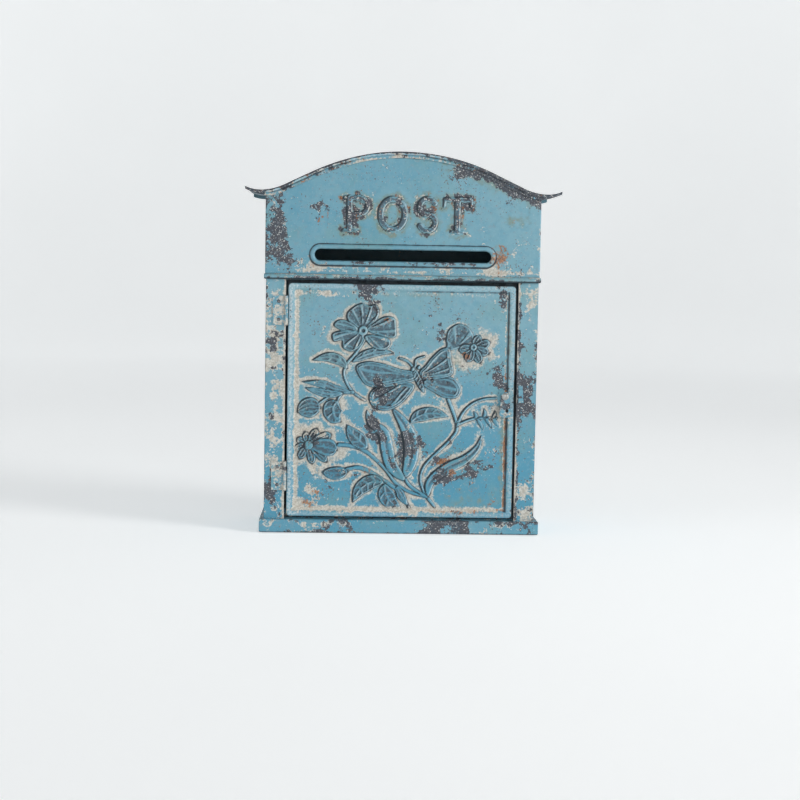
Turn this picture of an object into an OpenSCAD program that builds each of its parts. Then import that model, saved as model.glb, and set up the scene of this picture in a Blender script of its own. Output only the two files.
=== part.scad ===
// Wall letter box of folded sheet metal: arched roof, front letter slot, hinged door with a turn latch.
// Frame: origin in the middle of the base, +Z up, the front faces -Y and +X is to the right.
// All sizes are in millimetres.

/* [Case] */
// Width over the two side panels
case_w = 272.5; // [268:0.5:276]
// Depth from the back panel to the front of the roof bead
case_d = 108; // [104:1:116]
// Height from the base to the top of the roof
case_h = 382; // [378:1:390]
// Thickness of the case sheets
sheet = 1; // [0.8:0.1:1]

/* [Roof] */
// Radius of the crown of the roof
crown_r = 210; // [205:1:225]
// Slope of the straight flanks in degrees
flank_slope = 25.5; // [24:0.5:26]
// Distance from the middle to the lowest point of the roof line
valley_x = 143; // [142:0.5:146]
// Radius of the hollow between flank and valley
hollow_r = 55; // [45:1:58]
// Radius of the upturned tips
tip_r = 34; // [30:1:45]
// Width of the roof from tip to tip
roof_w = 315; // [312:1:320]
// Height of the lip turned down along the front edge
lip_h = 6.5; // [5:0.5:8]

/* [Front] */
// Width of the door opening
opening_w = 232; // [231:0.5:233]
// Height of the lower edge of the header above the base
header_z = 254; // [253:0.5:256]
// Width of the letter slot
slot_w = 176; // [165:1:180]
// Height of the letter slot
slot_h = 11.5; // [10:0.5:14]
// Height of the middle of the slot above the base
slot_z = 279; // [277:0.5:281]
// Height of the embossed capitals
letter_h = 36; // [30:1:38]

/* [Plinth] */
// How far the plinth stands out beside the case
plinth_out = 4.75; // [3:0.25:6]
// Height of the plinth
plinth_h = 13.5; // [12:0.5:15]

/* [Door] */
// Gap between the door and the opening, left and right
door_gap = 2; // [1.9:0.1:2.2]
// Height of the lower edge of the door above the plinth
door_lift = 2.5; // [2:0.5:4]
// Gap between the door and the header
door_top_gap = 3.3; // [2:0.1:4]
// Depth of the turned edge of the door
door_d = 5; // [4.6:0.2:5]
// Width of the flat rim round the embossed field
rim_w = 7; // [6:0.5:8]

/* [Hinges and latch] */
// Height of the middle of the upper hinge above the base
hinge_top_z = 223; // [200:1:230]
// Height of the middle of the lower hinge above the base
hinge_low_z = 57; // [40:1:80]
// Length of a hinge
hinge_l = 29; // [26:1:32]
// Radius of a hinge pin
pin_r = 0.8; // [0.7:0.05:0.85]
// Height of the latch pivot above the base
latch_z = 140; // [130:1:150]
// Length of the latch tab from its pivot to its end
tab_l = 21; // [19:0.5:21]

/* [Wall holes] */
// Distance between the two wall holes
wall_hole_pitch = 160; // [120:5:180]
// Radius of a wall hole
wall_hole_r = 3; // [2.5:0.25:4]
// Height of the wall holes above the base
wall_hole_z = 300; // [290:5:310]

/* [Hidden] */
$fn = 48;

// Planes of the front, from the foremost back
back_y = case_d / 2;
bead_y = -case_d / 2;
face_y = bead_y + 4;
header_y = face_y - sheet;
stop_y = face_y + door_d + 1;

// Roof line: crown arc, straight flank, hollow arc, tip arc
roof_t = 1.2;
crown_x = crown_r * sin(flank_slope);
crown_fall = crown_r * (1 - cos(flank_slope));
hollow_x = valley_x - hollow_r * sin(flank_slope);
flank_fall = crown_fall + (hollow_x - crown_x) * tan(flank_slope);
valley_fall = flank_fall + hollow_r * (1 - cos(flank_slope));
bead_h = 3.4;

// Fall of an arc of radius r at the distance x from its top
function arc_fall(r, x) = r - sqrt(r * r - x * x);

// Height of the top of the roof at x
function roof_z(x) = case_h - (
    abs(x) <= crown_x ? arc_fall(crown_r, x) :
    abs(x) <= hollow_x ? crown_fall + (abs(x) - crown_x) * tan(flank_slope) :
    abs(x) <= valley_x ? valley_fall - arc_fall(hollow_r, valley_x - abs(x)) :
    valley_fall - arc_fall(tip_r, abs(x) - valley_x));

// Evenly spaced stations from -half to half
function stations(half, steps) = [for (i = [0 : steps]) half * (2 * i / steps - 1)];

// Case
side_x = case_w / 2;
opening_x = opening_w / 2;
stile_top_z = header_z + 8;
lap = 9;
ear_h = 6;
plinth_x = side_x + plinth_out;
plinth_shelf = 20;
plinth_hem = 6;
ledge_r = 3;
ledge_x = side_x + 2;

// Slot rim
rim_out = 4.6;
crest_in = 1.1;
crest_w = 2.4;

// Embossed word
letter_z = 302;
stroke = 6;
serif = 3;
emboss = 1.6;

// Door
door_x = opening_x - door_gap;
door_z0 = plinth_h + door_lift;
door_z1 = header_z - door_top_gap;
door_t = 1;
field_dip = 1.5;
corner_r = 4;

// Hinges: the pin stands just in front of the faces, over the gap
pin_x = -opening_x + 0.5;
pin_y = face_y - 1.65;
pin_gap = 0.05;
knuckle_r = pin_r + 0.8;
knuckle_gap = 0.2;
leaf_t = 0.8;
leaf_w = 11.7;
leaf_edge = 1.8;
door_leaf_t = 0.7;
rivet_r = 1;
rivet_pitch = 18;
edge_rivet_r = 0.7;
edge_rivet_y = face_y + 3.65;

// Latch
latch_x = 105;
latch_r = 1.5;
spacer_t = 1;
tab_t = 1;
play = 0.05;
tab_back_y = face_y - spacer_t - play;
tab_w = 11;
eye_r = 1.7;
pad_r = 5.5;
keeper_t = 0.8;
keeper_back_y = tab_back_y - tab_t - 0.35;

// A box between two opposite corners
module block(low, high) {
    translate(low) cube(high - low);
}

// Extrudes an outline drawn in X and Z from the plane y0 to the plane y1
module sheet_between(y0, y1) {
    translate([0, y1, 0]) rotate([90, 0, 0]) linear_extrude(y1 - y0) children();
}

// A round rod along Y
module rod_y(x, z, r, y0, y1) {
    translate([x, y1, z]) rotate([90, 0, 0]) cylinder(h = y1 - y0, r = r);
}

// A round rod along X
module rod_x(y, z, r, x0, x1) {
    translate([x0, y, z]) rotate([0, 90, 0]) cylinder(h = x1 - x0, r = r);
}

// Strip that follows the roof line, between two depths below it
module roof_strip(half, top, bottom) {
    xs = stations(half, 64);
    polygon([
        for (x = xs) [x, roof_z(x) - top],
        for (i = [len(xs) - 1 : -1 : 0]) [xs[i], roof_z(xs[i]) - bottom]]);
}

// Outline from the height z0 up to the underside of the roof
module under_roof(half, z0) {
    polygon([
        [-half, z0],
        for (x = stations(half, 56)) [x, roof_z(x) - roof_t],
        [half, z0]]);
}

// Outline with straight sides and round ends
module stadium(w, h) {
    square([w - h, h], center = true);
    for (side = [-1, 1]) translate([side * (w - h) / 2, 0]) circle(d = h);
}

// Rectangle with round corners, standing on z0
module rounded_rect(half, z0, z1, r) {
    translate([-half + r, z0]) square([2 * (half - r), z1 - z0]);
    translate([-half, z0 + r]) square([2 * half, z1 - z0 - 2 * r]);
    for (x = [-half + r, half - r], z = [z0 + r, z1 - r]) translate([x, z]) circle(r = r);
}

// Case sheets

module back_panel() {
    color("#3f8fa0") difference() {
        union() {
            sheet_between(back_y - sheet, back_y) under_roof(side_x, plinth_h);
            sheet_between(back_y - sheet, back_y) roof_strip(roof_w / 2 - 2, roof_t, ear_h);
        }
        for (side = [-1, 1])
            rod_y(side * wall_hole_pitch / 2, wall_hole_z, wall_hole_r, back_y - 2, back_y + 1);
    }
}

// The right side panel: a sheet with a flange behind the stile and one before the back panel
module side_panel() {
    top_z = roof_z(side_x) - roof_t;
    block([side_x - sheet, face_y + sheet, plinth_h], [side_x, back_y - sheet, top_z]);
    block([side_x - lap, face_y + sheet, plinth_h], [side_x, face_y + 2 * sheet, header_z]);
    block([side_x - lap, back_y - 2 * sheet, plinth_h], [side_x, back_y - sheet, top_z]);
}

module left_side_panel() {
    color("#55a0ae") mirror([1, 0, 0]) side_panel();
}

module right_side_panel() {
    color("#55a0ae") side_panel();
}

module floor_panel() {
    floor_x = side_x - sheet;
    color("#4a8b99") {
        block([-floor_x, stop_y, plinth_h], [floor_x, back_y - 2 * sheet, plinth_h + sheet]);
        for (side = [0, 1]) mirror([side, 0, 0])
            block([floor_x - sheet, stop_y, plinth_h], [floor_x, back_y - 4 * sheet, plinth_h + 9]);
    }
}

module base_plinth() {
    inner = plinth_x - sheet;
    color("#46707f") difference() {
        block([-plinth_x, bead_y, 0], [plinth_x, back_y, plinth_h]);
        block([-inner, bead_y + sheet, sheet], [inner, back_y - sheet, plinth_h - sheet]);
        block(
            [-plinth_x + plinth_hem, bead_y + plinth_hem, -1],
            [plinth_x - plinth_hem, back_y - plinth_hem, 2 * sheet]);
        block(
            [-plinth_x + plinth_shelf, bead_y + plinth_shelf, plinth_h - 2 * sheet],
            [plinth_x - plinth_shelf, back_y - plinth_shelf, plinth_h + 1]);
    }
}

module roof_panel() {
    color("#4f6f78") {
        sheet_between(bead_y, back_y) roof_strip(roof_w / 2, 0, roof_t);
        sheet_between(bead_y, header_y) roof_strip(roof_w / 2, 0, bead_h);
        sheet_between(header_y - sheet, header_y) roof_strip(roof_w / 2 - 2, 0, lip_h);
    }
}

// Rim pressed out round the letter slot: a low ring and a narrower crest on it
module slot_rim() {
    difference() {
        stadium(slot_w + 2 * rim_out, slot_h + 2 * rim_out);
        stadium(slot_w, slot_h);
    }
}

module slot_crest() {
    difference() {
        stadium(slot_w + 2 * (crest_in + crest_w), slot_h + 2 * (crest_in + crest_w));
        stadium(slot_w + 2 * crest_in, slot_h + 2 * crest_in);
    }
}

// A serif: a short bar across the end of a stroke
module foot(x, z, w) {
    translate([x - w / 2, z]) square([w, serif]);
}

// Plain capitals, each drawn from its lower left corner
module letter_p() {
    bowl_r = letter_h * 0.28;
    square([stroke, letter_h]);
    foot(stroke / 2, 0, stroke * 2);
    difference() {
        union() {
            translate([stroke * 1.6, letter_h - bowl_r]) circle(r = bowl_r);
            translate([0, letter_h - 2 * bowl_r]) square([stroke * 1.6, 2 * bowl_r]);
        }
        translate([stroke * 1.6, letter_h - bowl_r]) circle(r = bowl_r - stroke * 0.7);
        translate([stroke, letter_h - 2 * bowl_r + stroke * 0.7])
            square([stroke * 0.6, 2 * (bowl_r - stroke * 0.7)]);
    }
}

module letter_o() {
    r = letter_h * 0.42;
    translate([r, letter_h / 2]) difference() {
        union() {
            for (z = [-1, 1]) translate([0, z * (letter_h / 2 - r)]) circle(r = r);
            square([2 * r, letter_h - 2 * r], center = true);
        }
        for (z = [-1, 1]) translate([0, z * (letter_h / 2 - r)]) circle(r = r - stroke);
        square([2 * (r - stroke), letter_h - 2 * r], center = true);
    }
}

// One bow of the S: three quarters of a ring
module s_bow(r) {
    difference() {
        circle(r = r);
        circle(r = r - stroke * 0.8);
        translate([0, -r - 1]) square([r + 1, r + 1]);
    }
}

module letter_s() {
    r = (letter_h + stroke * 0.8) / 4;
    translate([r, letter_h - r]) s_bow(r);
    translate([r, r]) rotate(180) s_bow(r);
}

module letter_t() {
    w = letter_h * 0.8;
    translate([(w - stroke) / 2, 0]) square([stroke, letter_h]);
    translate([0, letter_h - stroke * 0.8]) square([w, stroke * 0.8]);
    foot(w / 2, 0, stroke * 2);
    for (x = [serif / 2, w - serif / 2]) translate([x - serif / 2, letter_h - 9]) square([serif, 9]);
}

module word() {
    translate([-57, 0]) letter_p();
    translate([-26, 0]) letter_o();
    translate([13, 0]) letter_s();
    translate([39, 0]) letter_t();
}

module header_panel() {
    flange_d = 12;
    top_z = roof_z(side_x + sheet) - roof_t;
    turn_x = opening_x - 1;
    color("#63aab6") {
        difference() {
            union() {
                sheet_between(header_y, face_y) under_roof(side_x + sheet, header_z);
                sheet_between(header_y - 1, face_y) translate([0, slot_z]) slot_rim();
                sheet_between(header_y - 1.8, face_y) translate([0, slot_z]) slot_crest();
                sheet_between(header_y - emboss, face_y) translate([0, letter_z]) word();
            }
            sheet_between(bead_y - 1, face_y + 1) translate([0, slot_z]) stadium(slot_w, slot_h);
        }
        for (side = [0, 1]) mirror([side, 0, 0])
            block([side_x, face_y, header_z], [side_x + sheet, header_y + flange_d, top_z]);
        block([-turn_x, face_y, header_z], [turn_x, stop_y, header_z + sheet]);
        block([-turn_x, stop_y, header_z - 8], [turn_x, stop_y + sheet, header_z + sheet]);
    }
}

module drip_ledge() {
    color("#5a98a6") intersection() {
        rod_x(header_y, header_z + ledge_r, ledge_r, -ledge_x, ledge_x);
        block([-ledge_x, bead_y - 1, header_z], [ledge_x, header_y, header_z + 2 * ledge_r]);
    }
}

// The right stile: a face strip with a fold into the opening
module stile() {
    block([opening_x, face_y, plinth_h], [side_x, face_y + sheet, stile_top_z]);
    block([opening_x, face_y, plinth_h], [opening_x + sheet, stop_y + sheet, header_z - 1]);
}

module left_stile() {
    color("#6fa9b1") difference() {
        mirror([1, 0, 0]) stile();
        hinge_holes(hinge_top_z);
        hinge_holes(hinge_low_z);
    }
}

module right_stile() {
    color("#6fa9b1") {
        stile();
        block([opening_x - 6, stop_y, plinth_h + sheet], [opening_x + sheet, stop_y + sheet, header_z - 9]);
    }
}

module sill_rail() {
    x1 = opening_x - 6.5;
    z0 = plinth_h + sheet;
    color("#4a8b99") {
        block([-opening_x, stop_y, z0], [x1, stop_y + sheet, z0 + 9]);
        block([-opening_x, stop_y, z0], [x1, stop_y + 10, z0 + sheet]);
    }
}

// Hinges, each drawn round the height of its middle

rivet_x = pin_x - leaf_edge - leaf_w / 2;

// Places of the two rivets of a leaf
function rivet_heights(z) = [z - rivet_pitch / 2, z + rivet_pitch / 2];

module hinge_holes(z) {
    for (h = rivet_heights(z)) rod_y(rivet_x, h, rivet_r + pin_gap, face_y - 2, face_y + 2);
}

module knuckle(z0, z1) {
    translate([pin_x, pin_y, z0]) cylinder(h = z1 - z0, r = knuckle_r);
}

module pin_bore(z) {
    translate([pin_x, pin_y, z - hinge_l]) cylinder(h = 2 * hinge_l, r = pin_r + pin_gap);
}

module frame_leaf(z) {
    edge_x = pin_x - leaf_edge;
    half = hinge_l / 2;
    third = hinge_l / 6;
    color("#8a7a63") difference() {
        union() {
            block([edge_x - leaf_w, face_y - leaf_t, z - half], [edge_x, face_y, z + half]);
            for (end = [[-half, -third], [third, half]]) {
                knuckle(z + end[0], z + end[1]);
                block(
                    [edge_x - 1, face_y - leaf_t, z + end[0]],
                    [pin_x, face_y - play, z + end[1]]);
            }
        }
        pin_bore(z);
        hinge_holes(z);
    }
}

module door_leaf(z) {
    half = hinge_l / 2 - knuckle_gap;
    third = hinge_l / 6 - knuckle_gap;
    x0 = -door_x - door_leaf_t;
    color("#8a7a63") difference() {
        union() {
            knuckle(z - third, z + third);
            block([x0, pin_y + 0.65, z - third], [-door_x, face_y + 1, z + third]);
            block([x0, face_y + 0.2, z - half], [-door_x, face_y + door_d - 0.2, z + half]);
        }
        pin_bore(z);
        for (h = rivet_heights(z))
            rod_x(edge_rivet_y, h, edge_rivet_r + pin_gap, x0 - 1, -door_x + 1);
    }
}

module hinge_pin(z) {
    half = hinge_l / 2;
    color("#77706a") {
        translate([pin_x, pin_y, z - half]) cylinder(h = hinge_l, r = pin_r);
        translate([pin_x, pin_y, z + half]) cylinder(h = 0.9, r1 = 1.4, r2 = 0.9);
        translate([pin_x, pin_y, z - half - 0.7]) cylinder(h = 0.7, r1 = 0.9, r2 = 1.3);
    }
}

// Rivets that hold a frame leaf on the left stile
module frame_rivets(z) {
    color("#77706a") for (h = rivet_heights(z)) {
        rod_y(rivet_x, h, rivet_r, face_y - leaf_t, face_y + sheet);
        rod_y(rivet_x, h, 1.5, face_y + sheet, face_y + sheet + 0.6);
        translate([rivet_x, face_y - leaf_t, h]) rotate([90, 0, 0]) cylinder(h = 0.8, r1 = 1.8, r2 = 1);
    }
}

// Rivets that hold a door leaf on the turned edge of the door
module door_rivets(z) {
    leaf_x = -door_x - door_leaf_t;
    inner_x = -door_x + door_t;
    color("#77706a") for (h = rivet_heights(z)) {
        rod_x(edge_rivet_y, h, edge_rivet_r, leaf_x, inner_x);
        rod_x(edge_rivet_y, h, 1.1, leaf_x - 0.5, leaf_x);
        rod_x(edge_rivet_y, h, 1.1, inner_x, inner_x + 0.5);
    }
}

module upper_hinge_frame_leaf() { frame_leaf(hinge_top_z); }
module lower_hinge_frame_leaf() { frame_leaf(hinge_low_z); }
module upper_hinge_door_leaf() { door_leaf(hinge_top_z); }
module lower_hinge_door_leaf() { door_leaf(hinge_low_z); }
module upper_hinge_pin() { hinge_pin(hinge_top_z); }
module lower_hinge_pin() { hinge_pin(hinge_low_z); }
module upper_frame_rivets() { frame_rivets(hinge_top_z); }
module lower_frame_rivets() { frame_rivets(hinge_low_z); }
module upper_door_rivets() { door_rivets(hinge_top_z); }
module lower_door_rivets() { door_rivets(hinge_low_z); }

// Door relief: flowers, leaves and a butterfly, drawn in X and Z

// Pointed leaf from the origin along +X
module blade(l, w) {
    steps = 10;
    polygon([
        for (i = [0 : steps]) [l * i / steps, w / 2 * sin(180 * i / steps)],
        for (i = [steps - 1 : -1 : 1]) [l * i / steps, -w / 2 * sin(180 * i / steps)]]);
}

// Places a leaf with its stalk at p, pointing along the angle a
module leaf_at(p, a, l, w) {
    translate(p) rotate(a) blade(l, w);
}

// A flower of five petals
module flower(p, r, turn) {
    translate(p) {
        circle(r = r * 0.45, $fn = 12);
        for (i = [0 : 4]) rotate(turn + 72 * i) translate([r * 0.6, 0]) circle(r = r * 0.38, $fn = 12);
    }
}

// Point at t on a curve from a to c that bends towards b
function bend(a, b, c, t) = (1 - t) * (1 - t) * a + 2 * t * (1 - t) * b + t * t * c;

// Direction of that curve at t, turned a quarter
function bend_side(a, b, c, t) =
    let (d = (1 - t) * (b - a) + t * (c - b), n = norm(d)) [-d[1] / n, d[0] / n];

// A curved stem of even width
module stem(a, b, c, w) {
    ts = [for (i = [0 : 10]) i / 10];
    polygon([
        for (t = ts) bend(a, b, c, t) + w / 2 * bend_side(a, b, c, t),
        for (t = ts) bend(a, b, c, 1 - t) - w / 2 * bend_side(a, b, c, 1 - t)]);
}

stem_h = 1.2;
leaf_h = 1.6;
bloom_h = 2.1;
root = [32, 30];

module stems() {
    stem(root, [-8, 60], [-68, 78], 2.4);
    stem(root, [20, 80], [-40, 180], 2.4);
    stem(root, [50, 90], [66, 172], 2.4);
    stem(root, [-20, 50], [-76, 118], 2);
    stem([48, 88], [66, 112], [88, 126], 1.8);
}

module leaves() {
    leaf_at([28, 34], 118, 78, 11);
    leaf_at([33, 34], 98, 72, 10);
    leaf_at([34, 40], 62, 66, 11);
    leaf_at([42, 50], 40, 48, 10);
    leaf_at([-6, 40], 160, 34, 9);
    leaf_at([-30, 62], 205, 28, 8);
    leaf_at([-58, 92], 60, 24, 9);
    leaf_at([-73, 116], 130, 22, 10);
    leaf_at([-72, 140], 200, 26, 10);
    leaf_at([12, 104], 20, 34, 11);
    leaf_at([-34, 172], 15, 26, 9);
}

module blooms() {
    flower([-40, 196], 27, 90);
    flower([66, 178], 17, 60);
    flower([-82, 72], 17, 20);
    leaf_at([10, 140], 158, 52, 24);
    leaf_at([12, 142], 22, 44, 26);
    leaf_at([8, 138], 200, 44, 18);
    leaf_at([14, 138], 338, 34, 20);
}

module door_panel() {
    inner_x = door_x - rim_w;
    field_y = face_y + field_dip;
    pad_y = field_y + door_t;
    color("#5ba4b2") difference() {
        union() {
            difference() {
                sheet_between(face_y, face_y + door_d) rounded_rect(door_x, door_z0, door_z1, corner_r);
                sheet_between(face_y - 1, field_y)
                    rounded_rect(inner_x, door_z0 + rim_w, door_z1 - rim_w, corner_r);
                sheet_between(pad_y, face_y + door_d + 1)
                    rounded_rect(door_x - door_t, door_z0 + door_t, door_z1 - door_t, corner_r - door_t);
            }
            sheet_between(field_y - stem_h, field_y + 0.5) stems();
            sheet_between(field_y - leaf_h, field_y + 0.5) leaves();
            sheet_between(field_y - bloom_h, field_y + 0.5) blooms();
            rod_y(latch_x, latch_z, pad_r, face_y, pad_y);
        }
        rod_y(latch_x, latch_z, latch_r + play, face_y - 2, pad_y + 1);
        for (z = [hinge_top_z, hinge_low_z], h = rivet_heights(z))
            rod_x(edge_rivet_y, h, edge_rivet_r + pin_gap, -door_x - 1, -door_x + 2);
    }
}

// Latch

latch_tail_y = face_y + field_dip + door_t;

module latch_rivet() {
    head_y = tab_back_y - tab_t - play;
    color("#8d8a82") {
        rod_y(latch_x, latch_z, latch_r, head_y, latch_tail_y + 1.2);
        translate([latch_x, head_y, latch_z]) rotate([90, 0, 0]) cylinder(h = 1.4, r1 = 3.75, r2 = 2.2);
        translate([latch_x, latch_tail_y + 0.8, latch_z]) rotate([-90, 0, 0]) cylinder(h = 0.8, r = 2.4);
    }
}

module latch_spacer() {
    color("#8d8a82") difference() {
        rod_y(latch_x, latch_z, 3.2, face_y - spacer_t, face_y);
        rod_y(latch_x, latch_z, latch_r + play, face_y - 2, face_y + 1);
    }
}

module latch_washer() {
    color("#8d8a82") difference() {
        rod_y(latch_x, latch_z, 3.6, latch_tail_y, latch_tail_y + 0.8);
        rod_y(latch_x, latch_z, latch_r + play, latch_tail_y - 1, latch_tail_y + 2);
    }
}

// The tab hangs from the rivet, widens downwards and has an eye and a small thumb fold
module tab_outline() {
    end_r = 3;
    circle(r = 4.4);
    polygon([
        [-4.2, -1], [4.2, -1],
        [tab_w / 2, -tab_l + end_r + 3], [-tab_w / 2, -tab_l + end_r + 3]]);
    for (side = [-1, 1]) translate([side * (tab_w / 2 - end_r), -tab_l + end_r]) circle(r = end_r);
    translate([-tab_w / 2, -tab_l + end_r]) square([tab_w, 3.2]);
    translate([-tab_w / 2 + end_r, -tab_l]) square([tab_w - 2 * end_r, 4]);
}

module latch_tab() {
    y0 = tab_back_y - tab_t;
    fold_w = tab_w - 6;
    color("#6f8f98") difference() {
        union() {
            sheet_between(y0, tab_back_y) translate([latch_x, latch_z]) tab_outline();
            block(
                [latch_x - fold_w / 2, y0 - 1.1, latch_z - tab_l],
                [latch_x + fold_w / 2, tab_back_y, latch_z - tab_l + 1]);
        }
        rod_y(latch_x, latch_z, latch_r + play, y0 - 1, tab_back_y + 1);
        rod_y(latch_x + 2, latch_z - 14.5, eye_r, y0 - 1, tab_back_y + 1);
    }
}

// A tongue that hangs from a foot on the right stile; the tab swings up behind it
module latch_keeper() {
    x0 = latch_x + 13.2;
    top_z = latch_z + tab_w / 2 + 0.6;
    color("#7fb0b8") {
        sheet_between(keeper_back_y - keeper_t, keeper_back_y) polygon([
            [x0, top_z + keeper_t], [x0 + 4.2, top_z + keeper_t],
            [x0 + 5.2, latch_z - 6], [x0, latch_z - 6]]);
        block([x0, keeper_back_y - keeper_t, top_z], [x0 + 4.2, face_y, top_z + keeper_t]);
        block([x0, face_y - keeper_t, top_z], [x0 + 4.2, face_y, top_z + 5]);
    }
}

back_panel();
left_side_panel();
right_side_panel();
floor_panel();
base_plinth();
roof_panel();
header_panel();
drip_ledge();
left_stile();
right_stile();
sill_rail();
upper_hinge_frame_leaf();
lower_hinge_frame_leaf();
upper_hinge_pin();
lower_hinge_pin();
upper_frame_rivets();
lower_frame_rivets();
latch_keeper();
door_panel();
upper_hinge_door_leaf();
lower_hinge_door_leaf();
upper_door_rivets();
lower_door_rivets();
latch_rivet();
latch_spacer();
latch_washer();
latch_tab();
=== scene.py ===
"""A weathered tin letter box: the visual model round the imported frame."""
import math

import bpy
import numpy as np
from mathutils import Matrix, Vector


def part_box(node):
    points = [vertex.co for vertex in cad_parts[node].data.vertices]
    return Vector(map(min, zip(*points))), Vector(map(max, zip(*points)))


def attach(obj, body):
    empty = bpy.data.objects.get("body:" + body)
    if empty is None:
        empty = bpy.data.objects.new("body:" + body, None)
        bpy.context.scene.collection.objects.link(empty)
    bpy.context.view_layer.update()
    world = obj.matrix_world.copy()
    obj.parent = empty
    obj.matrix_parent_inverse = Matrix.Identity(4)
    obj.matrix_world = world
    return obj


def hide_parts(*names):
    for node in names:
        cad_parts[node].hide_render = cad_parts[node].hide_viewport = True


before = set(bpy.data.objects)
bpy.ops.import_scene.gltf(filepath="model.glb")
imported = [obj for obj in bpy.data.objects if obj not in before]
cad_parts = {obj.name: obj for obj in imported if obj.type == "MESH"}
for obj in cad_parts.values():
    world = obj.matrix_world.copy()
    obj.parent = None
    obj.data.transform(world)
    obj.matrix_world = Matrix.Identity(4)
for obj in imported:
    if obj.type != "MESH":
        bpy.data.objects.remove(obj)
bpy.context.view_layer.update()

# Lengths in the mesh code are in millimetres. Blender's are in metres.
MM = 0.001


# ---------------------------------------------------------------- numbers from the frame

def corners(node):
    """Lowest and highest corner of a CAD node, in mm."""
    low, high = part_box(node)
    return np.array(low) / MM, np.array(high) / MM


ROOF_LOW, ROOF_HIGH = corners("roof_panel")
HEADER_LOW, HEADER_HIGH = corners("header_panel")
PLINTH_HIGH = corners("base_plinth")[1]
SIDE_HIGH = corners("right_side_panel")[1]
BACK_LOW, BACK_HIGH = corners("back_panel")
FLOOR_LOW, FLOOR_HIGH = corners("floor_panel")
STILE_LOW, STILE_HIGH = corners("right_stile")
SILL_LOW, SILL_HIGH = corners("sill_rail")
LEDGE_LOW, LEDGE_HIGH = corners("drip_ledge")
DOOR_LOW, DOOR_HIGH = corners("door_panel")
LATCH_LOW, LATCH_HIGH = corners("latch_rivet")

SHEET = 1.0
SEAM_GAP = 0.05  # between the roof and the sheets that meet it
FACE_Y = STILE_LOW[1]
HEADER_Y = FACE_Y - SHEET
STOP_Y = SILL_LOW[1]
SIDE_X = SIDE_HIGH[0]

DOOR_LAP = 4.5  # how far the door reaches past the sill's right end
DOOR_GAP = 2.0  # between the door and the strips beside it
DOOR_DEPTH = 5.0
DOOR_CORNER = 4.0
DOOR_X = SILL_HIGH[0] + DOOR_LAP
OPENING_X = DOOR_X + DOOR_GAP
DOOR_BACK_Y = FACE_Y + DOOR_DEPTH
DOOR_MIDDLE_Z = (DOOR_LOW[2] + DOOR_HIGH[2]) / 2
DOOR_HALF_Z = (DOOR_HIGH[2] - DOOR_LOW[2]) / 2

# The header's face ends here. The fold behind it hangs lower, to stop the door
HEADER_EDGE_Z = HEADER_LOW[2] + 8.0
HEADER_GAP = 1.0  # the folds behind the header end this far below its edge
LATCH_X = (LATCH_LOW[0] + LATCH_HIGH[0]) / 2
LATCH_Z = (LATCH_LOW[2] + LATCH_HIGH[2]) / 2

# Roof line, as in the frame: crown arc, straight flank, hollow arc, tip arc
CROWN_R = 210.0
FLANK_SLOPE = math.radians(25.5)
VALLEY_X = 143.0
HOLLOW_R = 55.0
TIP_R = 34.0
ROOF_T = 1.2
ROOF_TOP = ROOF_HIGH[2]
ROOF_X = ROOF_HIGH[0]

# Letter slot, and the two screw holes in the back
SLOT_W = 176.0
SLOT_H = 11.5
SLOT_Z = 279.0
SLOT_RUN = (SLOT_W - SLOT_H) / 2
HOLE_X = 80.0
HOLE_Z = 300.0
HOLE_R = 3.0

# The word on the header
WORD_LOW = 302.0
WORD_HIGH = 338.0


def roof_z(x):
    """Height of the top of the roof at x."""
    x = np.abs(np.asarray(x, float))
    crown_x = CROWN_R * math.sin(FLANK_SLOPE)
    hollow_x = VALLEY_X - HOLLOW_R * math.sin(FLANK_SLOPE)
    crown_fall = CROWN_R * (1 - math.cos(FLANK_SLOPE))
    flank_fall = crown_fall + (hollow_x - crown_x) * math.tan(FLANK_SLOPE)
    valley_fall = flank_fall + HOLLOW_R * (1 - math.cos(FLANK_SLOPE))

    def arc(radius, run):
        return radius - np.sqrt(np.maximum(radius * radius - run * run, 0))

    fall = np.where(x <= crown_x, arc(CROWN_R, x), 0)
    fall = np.where(x > crown_x, crown_fall + (x - crown_x) * math.tan(FLANK_SLOPE), fall)
    fall = np.where(x > hollow_x, valley_fall - arc(HOLLOW_R, VALLEY_X - x), fall)
    fall = np.where(x > VALLEY_X, valley_fall - arc(TIP_R, x - VALLEY_X), fall)
    return ROOF_TOP - fall


# ---------------------------------------------------------------- small maths

def ramp(value, start, end):
    """Smooth step from 0 at start to 1 at end."""
    t = np.clip((value - start) / (end - start), 0, 1)
    return t * t * (3 - 2 * t)


def bell(distance, reach):
    """1 at no distance, fading to nothing within about twice the reach."""
    return np.exp(-(distance / reach) ** 2)


def spots(x, z, places):
    """Sum of soft spots at x, z. A place is centre x, centre z, half width, half height, strength."""
    total = np.zeros_like(x)
    for cx, cz, rx, rz, strength in places:
        total += strength * np.exp(-((x - cx) / rx) ** 2 - ((z - cz) / rz) ** 2)
    return total


def dents(a, b, seed, size, depth):
    """Gentle unevenness of a hand-beaten sheet over two coordinates in mm."""
    random = np.random.default_rng(seed)
    total = np.zeros_like(a)
    waves = 7
    for _ in range(waves):
        angle, phase = random.uniform(0, 2 * math.pi, 2)
        length = size * random.uniform(0.7, 1.9)
        total += np.sin((a * math.cos(angle) + b * math.sin(angle)) * 2 * math.pi / length + phase)
    return total * depth / math.sqrt(waves)


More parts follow.
